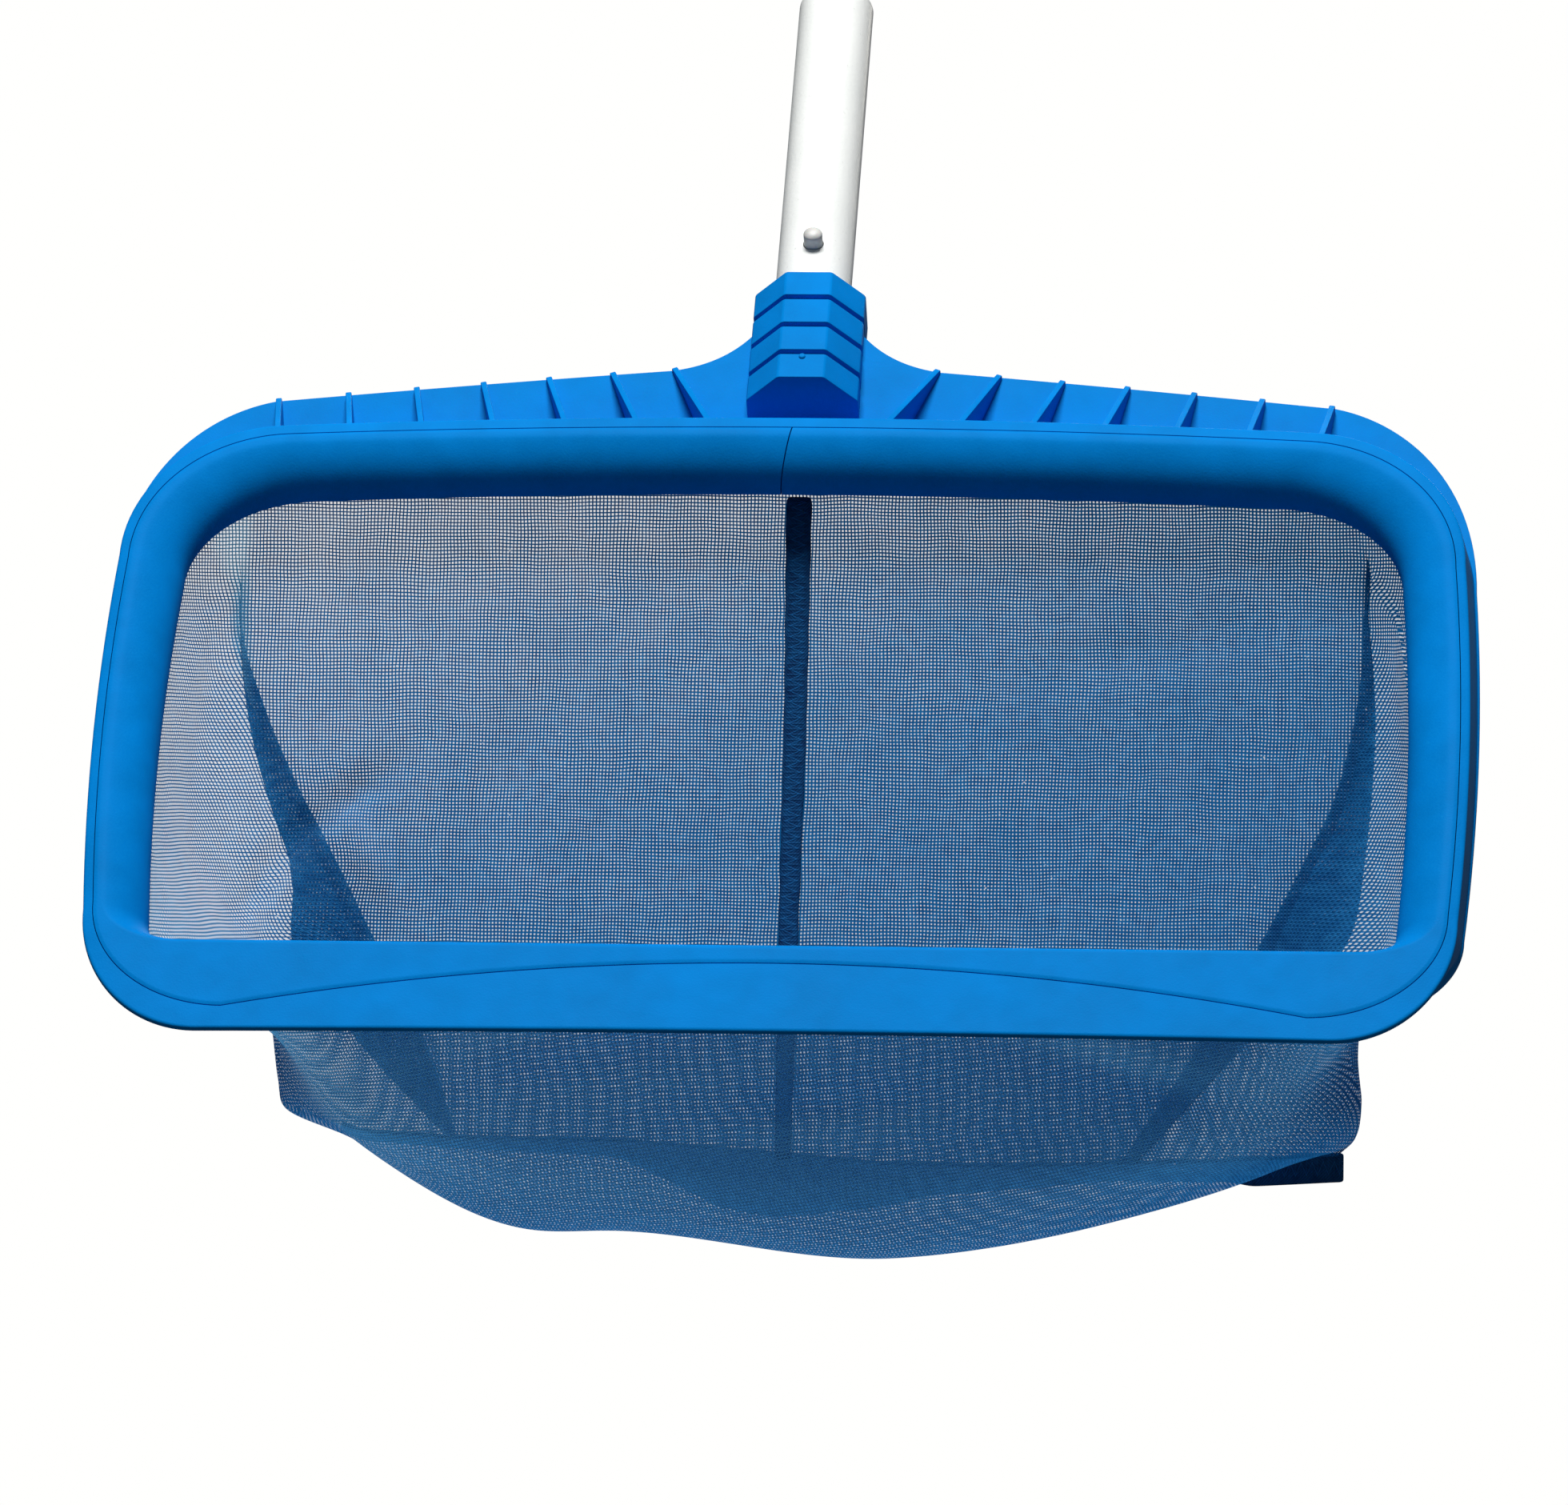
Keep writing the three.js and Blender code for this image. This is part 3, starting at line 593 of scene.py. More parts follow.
def make_button(name, side):
    """A domed button; side is -1 at the front and 1 at the rear."""
    dome = [(BUTTON_RADIUS * math.cos(a), BUTTON_TIP - 1.6 + 1.6 * math.sin(a))
            for a in np.linspace(0, math.pi / 2, 9)[:-1]]
    profile = [(0.01, BUTTON_INNER), (BUTTON_RADIUS - 0.2, BUTTON_INNER),
               (BUTTON_RADIUS, BUTTON_INNER + 0.2), *dome, (0.01, BUTTON_TIP)]
    place = HANDLE @ pointing(0, 0, BUTTON_UP, -side)
    return sharpened(revolved(name, profile, 48, place), 40)


CLIP_STRIP = 8.0
CLIP_THICKNESS = 0.8
CLIP_BEND_RADIUS = 3.2
CLIP_BEND_Z = -24.0


def make_clip_leg(name, side):
    """Half of the sprung strip: from the middle of its bend up one leg to a button."""
    leg = BUTTON_INNER - GAP - CLIP_THICKNESS / 2
    turn = np.radians(np.linspace(0, 180, 17))
    bend = np.stack([CLIP_BEND_RADIUS * np.cos(turn),
                     CLIP_BEND_Z - CLIP_BEND_RADIUS * np.sin(turn)], 1)
    right = bezier([(leg, BUTTON_UP - 1), (leg, BUTTON_UP - 5), (leg - 0.62, BUTTON_UP - 9)], 6)
    straight = np.linspace(right[-1], bend[0], 10)[1:-1]
    line = np.concatenate([[(leg, BUTTON_UP + 6), (leg, BUTTON_UP - 1)], right, straight, bend])
    along = np.gradient(line, axis=0)
    along /= np.linalg.norm(along, axis=1, keepdims=True)
    normal = np.stack([-along[:, 1], along[:, 0]], 1) * CLIP_THICKNESS / 2
    half = len(line) - len(bend) // 2
    outline = np.concatenate([(line + normal)[:half], (line - normal)[:half][::-1]])
    if side < 0:
        outline = (outline * (-1, 1))[::-1]
    # Outline x runs along the handle's Y and outline y along its Z.
    axes = Matrix(((0, 0, 1, -CLIP_STRIP / 2), (1, 0, 0, 0), (0, 1, 0, 0), (0, 0, 0, 1)))
    strip = extruded(name, [tuple(p) for p in outline], CLIP_STRIP, HANDLE @ axes)
    return sharpened(bevelled(strip, 0.18, 2, 50), 40)


def make_screw(name, length, matrix):
    """A pan-head screw along +Z with a cross recess."""
    r, shank = SCREW_HEAD_RADIUS, SCREW_SHANK_RADIUS
    profile = [(0.01, -2.1), (1.2, -2.02), (2.1, -1.8), (2.8, -1.3), (r - 0.05, -0.75),
               (r, -0.5), (r, -0.15), (r - 0.15, 0), (shank, 0)]
    for k in range(int((length - 3) / 0.9)):
        z = 0.4 + k * 0.9
        profile += [(shank * 0.86, z), (shank, z + 0.45)]
    profile += [(shank * 0.86, length - 2.6), (0.01, length)]
    screw = revolved(name, profile, 40, matrix)
    outline = [(-1.7, -0.33), (1.7, -0.33), (1.7, 0.33), (-1.7, 0.33)]
    for turn in (0, math.pi / 2):
        spin = Matrix.Rotation(turn + 0.4, 4, "Z") @ Matrix.Translation((0, 0, -3))
        screw = combined(screw, extruded("arm", outline, 2.0, matrix @ spin), "DIFFERENCE")
    return sharpened(screw, 35)


def make_screws():
    """Every screw, with the CAD node that it stands for."""
    made = []
    for i, (x, v) in enumerate(SCREW_PLACES):
        place = HEAD @ pointing(x, DEPTH + GAP, v, FORWARD)
        made.append((make_screw(f"screw_{i + 1:02d}", 15, place), f"bezel_screw_{i + 1:02d}"))
    for i, z in enumerate(HANDLE_SCREWS):
        place = HANDLE @ pointing(0, COLLAR_FLATS / 2 + GAP, z, FORWARD)
        made.append((make_screw(f"screw_handle_{i + 1}", 9, place), f"handle_screw_{i + 1}"))
    return made


# ---------------------------------------------------------------- the net bag

# Lines of cloth from the rim down to the bottom seam, as points in the part's own axes.
# Each side has a pleat: the back panel turns in at its outer fold and out again at its inner one.
BACK_CENTRE = [(0, -57, -140), (-0.8, -67, -209)]
LEFT_OUTER_FOLD = [(-183.9, -57.5, -93), (-183.8, -59.5, -110), (-179.5, -63.5, -146),
                   (-173.5, -66.5, -166), (-165.5, -69.5, -191), (-165.5, -72, -212),
                   (-145.7, -75.5, -240)]
LEFT_INNER_FOLD = [(-184.5, -55.5, -90), (-182.5, -57.3, -111), (-173.5, -59.5, -136),
                   (-162.5, -61.8, -160), (-146.2, -64.6, -190), (-135.7, -66.4, -210),
                   (-119.9, -70.8, -239)]
LEFT_GUSSET = [(-187.9, -99, -191), (-163.9, -93, -226), (-148.9, -85, -252)]
LEFT_TURN = [(-175.9, -138, -229), (-162.9, -122, -238), (-163.3, -108, -256), (-163.9, -93, -263)]
RIGHT_OUTER_FOLD = [(188.4, -57, -84), (188.1, -59, -100), (189.9, -61, -115),
                    (191.7, -63, -135), (191.2, -65.5, -156), (189.3, -68.5, -180),
                    (185.4, -71.5, -205), (152.1, -75.5, -240)]
RIGHT_INNER_FOLD = [(186.7, -55.3, -86), (186.1, -56.5, -98), (185.5, -57.7, -115),
                    (181.5, -60.3, -141), (175.9, -62.3, -162), (167.7, -64.5, -179),
                    (157.8, -66.5, -198), (134.3, -71, -240)]
RIGHT_GUSSET = [(201.1, -101, -191), (186.1, -95, -226), (167.1, -86, -254)]
RIGHT_TURN = [(192.1, -134, -228), (184.1, -118, -239), (188.1, -104, -259), (186.1, -91, -270)]
FRONT_LEFT_OUTER = [(-148, -146, -245), (-144, -128, -266), (-139, -104, -274.5)]
FRONT_LEFT = [(-88, -146, -254), (-84, -132, -286), (-81.5, -114, -302.5), (-83, -95, -297)]
FRONT_NOTCH = [(-58, -146, -255), (-54, -133, -287), (-52, -115, -302.5), (-52, -96, -298)]
FRONT_CENTRE = [(27, -146, -256), (33, -136, -288), (38, -117, -310), (36, -98, -307),
                (30, -85, -295)]
FRONT_RIGHT = [(104, -146, -252), (106, -132, -284), (108, -112, -298), (104, -93, -293)]
FRONT_RIGHT_OUTER = [(158.1, -146, -246), (160.1, -126, -270), (160.1, -103, -281)]

# The bottom seam: across, and height.
SEAM_LINE = [(-158, -266), (-140, -273), (-113, -274.5), (-54, -275.2), (-8, -278.3),
             (34, -281.8), (71, -282), (139, -279.5), (180, -277)]
SEAM_Y = -78.0

RIM_INSET = 14.5
RIM_DEPTH = DEPTH + 0.9
CUFF_DEPTH = 17.2
RIM_SHAPE = bag_side(RIM_INSET, INNER_WALL + RIM_INSET - WALL_INSET)
ROWS = 46
BACK_COLUMNS = 38
FOLD_COLUMNS = 5
GUSSET_COLUMNS = 26
FRONT_COLUMNS = 38


def knots(points, least=0.0):
    """A curve's points, its chord length at each, and its tangents there."""
    p = np.asarray(points, float)
    reach = np.linalg.norm(np.diff(p, axis=0), axis=1) + least
    chord = np.concatenate([[0], np.cumsum(reach)])
    return p, chord, np.gradient(p, chord, axis=0, edge_order=1)


def hermite(p, tangent, i, h, t):
    """A curve's stretch i, of chord length h, at shares t."""
    return ((2 * t ** 3 - 3 * t ** 2 + 1) * p[i] + (t ** 3 - 2 * t ** 2 + t) * h * tangent[i]
            + (3 * t ** 2 - 2 * t ** 3) * p[i + 1] + (t ** 3 - t ** 2) * h * tangent[i + 1])


def smooth_line(points, shares):
    """A smooth curve through points, at shares of its chord length."""
    p, chord, tangent = knots(points)
    s = np.asarray(shares) * chord[-1]
    i = np.clip(np.searchsorted(chord, s, side="right") - 1, 0, len(p) - 2)
    h = (chord[i + 1] - chord[i])[:, None]
    return hermite(p, tangent, i, h, ((s - chord[i]) / h[:, 0])[:, None])


def seam_point(x):
    """The bottom seam at x."""
    line = np.array(SEAM_LINE)
    return (x, SEAM_Y, float(np.interp(x, line[:, 0], line[:, 1])))


def rim_station(x, low):
    """The rim station nearest a place across, on the top and sides or on the bar."""
    bar_from = (sum(SPLIT[:3]) + SPLIT[3] / 2) * FINE
    right = half_rail(RIM_SHAPE)
    index = np.arange(HALF + 1)
    allowed = index >= bar_from if low else index < bar_from
    best = index[allowed][np.argmin(np.abs(right[allowed, 0] - abs(x)))]
    return best if x >= 0 else (STATIONS - best) % STATIONS


def side_station(v, side):
    """The rim station at height v on one side."""
    right = half_rail(RIM_SHAPE)
    half = sum(SPLIT[:2]) * FINE
    best = half + int(np.argmin(np.abs(right[half:half + SPLIT[2] * FINE + 1, 1] - v)))
    return best if side > 0 else STATIONS - best


def through(points, columns):
    """A smooth curve through points, each stretch cut into its number of columns."""
    p, chord, tangent = knots(points, 1e-6)
    return np.concatenate([
        hermite(p, tangent, i, chord[i + 1] - chord[i], np.arange(count)[:, None] / count)
        for i, count in enumerate(columns)])


RIM = moved(rail(RIM_SHAPE, -RIM_DEPTH), HEAD)
CUFF_RIM = moved(rail(RIM_SHAPE, -CUFF_DEPTH), HEAD)

# The cloth's lines in order round the rim, from the left side turn: the rim station, the
# points on the way down, where the line meets the seam, and the columns up to the next line.
HALF_GUSSET = GUSSET_COLUMNS // 2
LINES = [
    (rim_station(-191, True), LEFT_TURN, -158, HALF_GUSSET),
    (side_station(112, -1), LEFT_GUSSET, -143, HALF_GUSSET),
    (rim_station(-191, False), LEFT_INNER_FOLD, -107.5, FOLD_COLUMNS),
    (rim_station(-183, False), LEFT_OUTER_FOLD, -112, BACK_COLUMNS),
    (rim_station(0.8, False), BACK_CENTRE, -1, BACK_COLUMNS),
    (rim_station(182, False), RIGHT_OUTER_FOLD, 115, FOLD_COLUMNS),
    (rim_station(190, False), RIGHT_INNER_FOLD, 108, HALF_GUSSET),
    (side_station(112, 1), RIGHT_GUSSET, 150, HALF_GUSSET),
    (rim_station(194, True), RIGHT_TURN, 180, FRONT_COLUMNS // 3),
    (rim_station(162, True), FRONT_RIGHT_OUTER, 156, FRONT_COLUMNS // 3),
    (rim_station(108, True), FRONT_RIGHT, 100, FRONT_COLUMNS // 3 + 2),
    (rim_station(22, True), FRONT_CENTRE, 26, FRONT_COLUMNS // 3 + 8),
    (rim_station(-64, True), FRONT_NOTCH, -57, 5),
    (rim_station(-90, True), FRONT_LEFT, -82, FRONT_COLUMNS // 3),
    (rim_station(-160, True), FRONT_LEFT_OUTER, -146, FRONT_COLUMNS // 3),
]
INNER_LEFT, OUTER_LEFT, CENTRE, OUTER_RIGHT, INNER_RIGHT = 2, 3, 4, 5, 6
TURN_RIGHT, FRONT_MIDDLE = 8, 11
PLEATS = ((INNER_LEFT, OUTER_LEFT), (OUTER_RIGHT, INNER_RIGHT))
COUNTS = [line[3] for line in LINES]
COLUMN_AT = np.concatenate([[0], np.cumsum(COUNTS)])
COLUMNS = int(COLUMN_AT[-1])


def rim_points():
    """The rim and the cuff's edge at every column, evenly spaced between the cloth's lines."""
    reach = np.linalg.norm(np.diff(np.concatenate([RIM, RIM[:1]]), axis=0), axis=1)
    far = np.concatenate([[0], np.cumsum(reach)])
    starts = np.array([line[0] for line in LINES])
    starts = np.where(starts < starts[0], starts + STATIONS, starts)
    around = np.concatenate([far[:-1], far + far[-1]])
    places = around[np.append(starts, starts[0] + STATIONS)]
    at = np.concatenate([np.linspace(a, b, count, endpoint=False)
                         for a, b, count in zip(places, places[1:], COUNTS)])
    twice = [np.concatenate([ring, ring, ring[:1]]) for ring in (RIM, CUFF_RIM)]
    return [np.stack([np.interp(at, around, ring[:, k]) for k in range(3)], 1) for ring in twice]


def bag_grid():
    """The hung bag as rows of points from the rim to the seam."""
    rim, _ = rim_points()
    shares = np.linspace(0, 1, ROWS + 1)
    tracks = [smooth_line([rim[COLUMN_AT[i]], *mids, seam_point(x)], shares)
              for i, (_, mids, x, _) in enumerate(LINES)]
    stretches = [
        [*range(INNER_RIGHT, len(LINES)), 0, 1, INNER_LEFT],
        [INNER_LEFT, OUTER_LEFT],
        [OUTER_LEFT, CENTRE, OUTER_RIGHT],
        [OUTER_RIGHT, INNER_RIGHT],
    ]
    rows = []
    for k in range(ROWS + 1):
        row = np.zeros((COLUMNS, 3))
        for keys in stretches:
            line = through([tracks[i][k] for i in keys], [COUNTS[i] for i in keys[:-1]])
            done = 0
            for i in keys[:-1]:
                row[COLUMN_AT[i]:COLUMN_AT[i + 1]] = line[done:done + COUNTS[i]]
                done += COUNTS[i]
        rows.append(row)
    grid = np.array(rows)
    fade = (1 - smoothstep(shares, 0, 0.55))[:, None, None]
    grid += (rim - grid[0])[None] * fade
    ends = grid[-1]
    ends[:] = [seam_point(x) for x in ends[:, 0]]
    return grid


# Creases where the pleats pull at the net: middle across and up, the way they run in
# degrees from level, half length, half width, and depth.
CREASES = [
    (-146, -164, 38, 17, 4.0, 6.0), (-139, -184, -62, 13, 4.0, -5.0), (-92, -150, 74, 34, 12, 3.2),
    (-172, -190, 62, 16, 4.0, 4.0), (120, -112, 12, 40, 9, 1.6), (60, -165, 80, 34, 14, -1.8),
    (-60, -236, 16, 44, 9, 2.4), (110, -248, -14, 40, 8, 2.2), (20, -262, 6, 36, 8, -2.0),
]


def creased(grid):
    """The hung cloth with its creases pressed in, fore and aft."""
    x, z = grid[..., 0], grid[..., 2]
    for across, up, degrees, long_half, wide_half, depth in CREASES:
        c, s = math.cos(math.radians(degrees)), math.sin(math.radians(degrees))
        along = ((x - across) * c + (z - up) * s) / long_half
        over = ((z - up) * c - (x - across) * s) / wide_half
        grid[..., 1] += depth * np.exp(-along ** 2 - over ** 2)
    return grid


def hung_bag():
    """All of the net: the cuff inside the frame, then the bag down to its seam."""
    grid = creased(bag_grid())
    _, cuff_rim = rim_points()
    cuff = np.array([lerp(cuff_rim, grid[0], s) for s in (0, 0.5)])
    return np.concatenate([cuff, grid])


FRONT_BIAS = math.radians(12)    # the front's threads run this far off level


def run_from(steps, line):
    """Steps along every row added up, counted from one of the cloth's lines."""
    far = np.concatenate([np.zeros((len(steps), 1)), np.cumsum(steps, axis=1)], axis=1)
    return far - far[:, COLUMN_AT[line]][:, None]


def bag_uv(whole):
    """Thread coordinates across and down the cloth: for the back and sides, and for the front."""
    closed = np.concatenate([whole, whole[:, :1]], axis=1)
    step = np.diff(closed, axis=1)
    back = run_from(np.linalg.norm(step[:, :, :2], axis=2), CENTRE)
    front = run_from(np.abs(step[:, :, 0]), FRONT_MIDDLE)
    fall = np.linalg.norm(np.diff(closed, axis=0)[:, :, 1:], axis=2)
    down = np.concatenate([np.zeros((1, COLUMNS + 1)), np.cumsum(fall, axis=0)])
    c, s = math.cos(FRONT_BIAS), math.sin(FRONT_BIAS)
    turned = np.stack([front * c + down * s, front * s - down * c], 2)
    return np.stack([back, closed[:, :, 2]], 2), turned


# How closely the weave closes up along each of the cloth's lines, at four shares of the way
# down. 0 is a slack open weave and 1 a pleat's packed threads; the closing towards the bottom is
# painted shade.
TIGHT_AND_SHADE_SHARES = (0.08, 0.35, 0.55, 1.0)
TIGHTNESS_AND_PAINTED_SHADE = [
    (0.20, 0.25, 0.30, 0.50), (0.00, 0.00, 0.10, 0.40), (0.00, 0.00, 0.15, 0.50),
    (0.00, 0.26, 0.56, 0.70), (0.26, 0.65, 0.80, 0.85), (0.72, 1.00, 1.02, 0.95),
    (0.60, 0.62, 0.65, 0.70), (0.60, 0.62, 0.65, 0.60), (0.40, 0.40, 0.40, 0.50),
    (0.25, 0.25, 0.35, 0.50), (0.12, 0.12, 0.35, 0.62), (0.05, 0.05, 0.34, 0.64),
    (0.05, 0.05, 0.38, 0.66), (0.05, 0.05, 0.38, 0.66), (0.10, 0.10, 0.34, 0.60),
]
# Painted light along each of the cloth's lines: the front, which faces out, is painted brighter,
# standing in for light falling on it.
PAINTED_LIGHT_BY_LINE = [0.5, 0.1, 0, 0, 0, 0, 0, 0.1, 0.3, 0.6, 0.85, 1, 1, 1, 1]
PAINTED_LIGHT_SHARES = (0, 0.40, 0.70, 1)
PAINTED_LIGHT_DOWN = (1, 1, 0, 0)
PLEAT_PAINTED_LIGHT = 0.75             # of the left pleat, also painted lighter as painted light


def line_values(table):
    """Values given along the cloth's lines, spread over its columns."""
    return np.array([np.interp(np.arange(COLUMNS), COLUMN_AT, [*row, row[0]]) for row in table])


def tightness_and_shade(rows):
    """The weave's tightness at every point of the bag, row by row; its rise towards the bottom is
    painted shade.
    """
    value = line_values([[np.interp(share, TIGHT_AND_SHADE_SHARES, line) for line in TIGHTNESS_AND_PAINTED_SHADE]
                         for share in np.linspace(0, 1, rows)])
    packed = smoothstep(np.linspace(0, 1, rows), 0.09, 0.17)[:, None]
    for first, last in PLEATS:
        pleat = slice(COLUMN_AT[first], COLUMN_AT[last] + 1)
        value[:, pleat] = lerp(value[:, pleat], 1.0, packed)
    return value


def painted_light(rows):
    """How much painted light brightens the threads at every point of the bag, row by row."""
    down = np.interp(np.linspace(0, 1, rows), PAINTED_LIGHT_SHARES, PAINTED_LIGHT_DOWN)
    value = line_values([PAINTED_LIGHT_BY_LINE]) * down[:, None]
    value[:, COLUMN_AT[INNER_LEFT]:COLUMN_AT[OUTER_LEFT] + 1] = PLEAT_PAINTED_LIGHT
    return value


FREE_HOLD = 0.50                # of the open panels, against 1 where the cloth is clamped
FRONT_HOLD = 0.95
PLEAT_HOLD, PLEAT_HOLD_FALL = 0.93, 0.05    # at a pleat or seam, and less with every column
SEAM_HOLD, SEAM_HOLD_FALL = 0.9, 0.12
SETTLE_FRAMES = 20
SLACK = 0.004


def hold_weights(rows):
    """How firmly each point keeps its place while the cloth settles."""
    shares = np.linspace(0, 1, rows)[:, None]
    columns = np.arange(COLUMNS)[None]
    weight = np.full((rows, COLUMNS), FREE_HOLD)
    weight[:, COLUMN_AT[TURN_RIGHT]:] = FRONT_HOLD
    for first, last in PLEATS:
        reach = np.maximum(np.maximum(COLUMN_AT[first] - columns, columns - COLUMN_AT[last]), 0)
        weight = np.maximum(weight, PLEAT_HOLD - PLEAT_HOLD_FALL * reach)
    seam = np.abs(columns - COLUMN_AT[CENTRE])
    weight = np.maximum(weight, SEAM_HOLD - SEAM_HOLD_FALL * seam)
    weight = np.maximum(weight, 1 - 0.7 * smoothstep(shares, 0.03, 0.16))
    weight[:3] = 1
    weight[-1] = 1
    return np.clip(weight, 0, 1)


def settled(bag, rows):
    """Lets the net hang and crease in a cloth simulation, and keeps the result."""
    group = bag.vertex_groups.new(name="held")
    for i, weight in enumerate(hold_weights(rows).ravel()):
        group.add([i], float(weight), "REPLACE")
    step = bag.modifiers.new("settle", "CLOTH")
    cloth = step.settings
    cloth.quality = 8
    cloth.mass = 0.0002
    cloth.tension_stiffness = cloth.compression_stiffness = 12
    cloth.shear_stiffness = 3
    cloth.bending_stiffness = 0.5
    cloth.air_damping = 2
    cloth.vertex_group_mass = "held"
    cloth.pin_stiffness = 1.0
    cloth.shrink_min = -SLACK
    step.point_cache.frame_start = 1
    step.point_cache.frame_end = SETTLE_FRAMES
    for number in range(1, SETTLE_FRAMES + 1):
        bpy.context.scene.frame_set(number)
    result = baked(bag)
    bpy.context.scene.frame_set(1)
    result.vertex_groups.clear()
    return result


def make_bag():
    """The net as one open sheet, and its points after it has settled."""
    whole = hung_bag()
    rows = len(whole)
    data = new_mesh("net_bag", whole, grid_faces(rows, COLUMNS, wrap_columns=True))
    bag = added("net_bag", data)
    back, front = bag_uv(whole)
    layer = data.uv_layers.new(name="threads")
    for polygon in data.polygons:
        r, c = divmod(polygon.index, COLUMNS)
        source = front if c >= COLUMN_AT[TURN_RIGHT] else back
        corners = [source[r, c], source[r, c + 1], source[r + 1, c + 1], source[r + 1, c]]
        for loop, corner in zip(polygon.loop_indices, corners):
            layer.data[loop].uv = corner * MM
        polygon.use_smooth = True
    # Both attributes paint the net: painted shade in the weave's closing, and painted light on the
    # threads.
    for name, values in (("tightness_and_shade", tightness_and_shade(rows)), ("painted_light", painted_light(rows))):
        layer = data.attributes.new(name, "FLOAT", "POINT")
        layer.data.foreach_set("value", values.ravel().astype(np.float32))
    settled(bag, rows)
    flat = np.zeros(rows * COLUMNS * 3)
    bag.data.vertices.foreach_get("co", flat)
    whole = flat.reshape(rows, COLUMNS, 3) / MM
    return softened(bag), whole


# ---------------------------------------------------------------- materials

class Shader:
    """A material's node tree, built a node at a time."""

    def __init__(self, name):
        self.material = bpy.data.materials.new(name)
        self.material.use_nodes = True
        self.tree = self.material.node_tree
        self.tree.nodes.clear()
        self.out = self.tree.nodes.new("ShaderNodeOutputMaterial")

    def add(self, kind, inputs=None, **settings):
        """A node with its settings, and its inputs linked or set."""
        node = self.tree.nodes.new("ShaderNode" + kind)
        for key, value in settings.items():
            setattr(node, key, value)
        for key, value in (inputs or {}).items():
            if isinstance(value, bpy.types.NodeSocket):
                self.tree.links.new(value, node.inputs[key])
            else:
                node.inputs[key].default_value = value
        return node

    def math(self, operation, *values):
        return self.add("Math", dict(enumerate(values)), operation=operation).outputs[0]

    def plus(self, a, b):
        return self.math("ADD", a, b)

    def times(self, a, b):
        return self.math("MULTIPLY", a, b)

    def wave(self, value, pitch):
        """Up from 0 to a half and back, once in every pitch."""
        return self.math("PINGPONG", self.times(value, 1 / pitch), 0.5)

    def span(self, value, low, high, to_low=0.0, to_high=1.0, kind="LINEAR"):
        return self.add("MapRange", {"Value": value, "From Min": low, "From Max": high,
                                     "To Min": to_low, "To Max": to_high},
                        interpolation_type=kind).outputs["Result"]

    def mix(self, share, a, b):
        a, b = [c if isinstance(c, bpy.types.NodeSocket) else (*c, 1) for c in (a, b)]
        return self.add("Mix", {"Factor": share, 6: a, 7: b}, data_type="RGBA",
                        clamp_factor=True).outputs[2]

    def noise(self, place, scale, detail=2.0, roughness=0.5):
        return self.add("TexNoise", {"Vector": place, "Scale": scale, "Detail": detail,
                                     "Roughness": roughness}).outputs["Fac"]

    def bump(self, height, distance, strength=1.0, under=None):
        inputs = {"Height": height, "Distance": distance, "Strength": strength}
        if under is not None:
            inputs["Normal"] = under
        return self.add("Bump", inputs).outputs["Normal"]

    def finish(self, surface):
        self.tree.links.new(surface, self.out.inputs["Surface"])
        return self.material

    def principled(self, base, **inputs):
        """Ends with a principled surface; an input's spaces are written as underscores."""
        named = {key.replace("_", " "): value for key, value in inputs.items()}
        node = self.add("BsdfPrincipled", {"Base Color": base, **named})
        return self.finish(node.outputs["BSDF"])


def shade(colour, amount):
    """A colour made darker or lighter."""
    return tuple(amount * c for c in colour)


def moulded_plastic(name, colour, pale, roughness):
    """Satin polypropylene: a fine mould grain, faint flow mottling and rubbed, paler specks."""
    s = Shader(name)
    place = s.add("TexCoord").outputs["Object"]
    mottle = s.noise(place, 26, 3)
    flow = s.noise(place, 90, 2)
    grain = s.noise(place, 1500, 2, 0.6)
    scuff = s.span(s.noise(place, 420, 4, 0.7), 0.66, 0.74)
    tone = s.plus(s.times(mottle, 0.6), s.times(flow, 0.4))
    base = s.mix(s.span(tone, 0.3, 0.7), shade(colour, 0.84), shade(colour, 1.10))
    base = s.mix(s.times(s.span(grain, 0.3, 0.75), 0.16), base, pale)
    base = s.mix(s.times(scuff, 0.22), base, pale)
    rough = s.span(s.plus(grain, mottle), 0.7, 1.3, roughness - 0.05, roughness + 0.07)
    normal = s.bump(grain, 0.00010, 0.55, s.bump(flow, 0.0004, 0.25))
    return s.principled(base, Roughness=rough, Normal=normal, IOR=1.49, Specular_IOR_Level=0.06,
                        Specular_Tint=(0.06, 0.50, 1.0, 1))


def coated_tube(name):
    """White powder coat: a faint orange peel, and small scratches along the tube."""
    s = Shader(name)
    place = s.add("TexCoord").outputs["Object"]
    peel = s.noise(place, 700, 2)
    cloud = s.noise(place, 40, 3)
    stretched = s.add("Mapping", {"Vector": place, "Rotation": (FRAME_LEAN + HANDLE_TILT, 0, 0),
                                  "Scale": (900, 900, 30)}).outputs["Vector"]
    scratch = s.span(s.noise(stretched, 1.0, 3, 0.7), 0.64, 0.72)
    base = s.mix(s.span(cloud, 0.3, 0.7), (0.90, 0.92, 0.89), (0.96, 0.97, 0.94))
    base = s.mix(s.times(scratch, 0.35), base, (0.52, 0.53, 0.51))
    rough = s.span(cloud, 0.3, 0.7, 0.28, 0.40)
    normal = s.bump(peel, 0.00025, 0.3, s.bump(scratch, -0.00005, 0.5))
    return s.principled(base, Roughness=rough, Normal=normal, Coat_Weight=0.25,
                        Coat_Roughness=0.2)


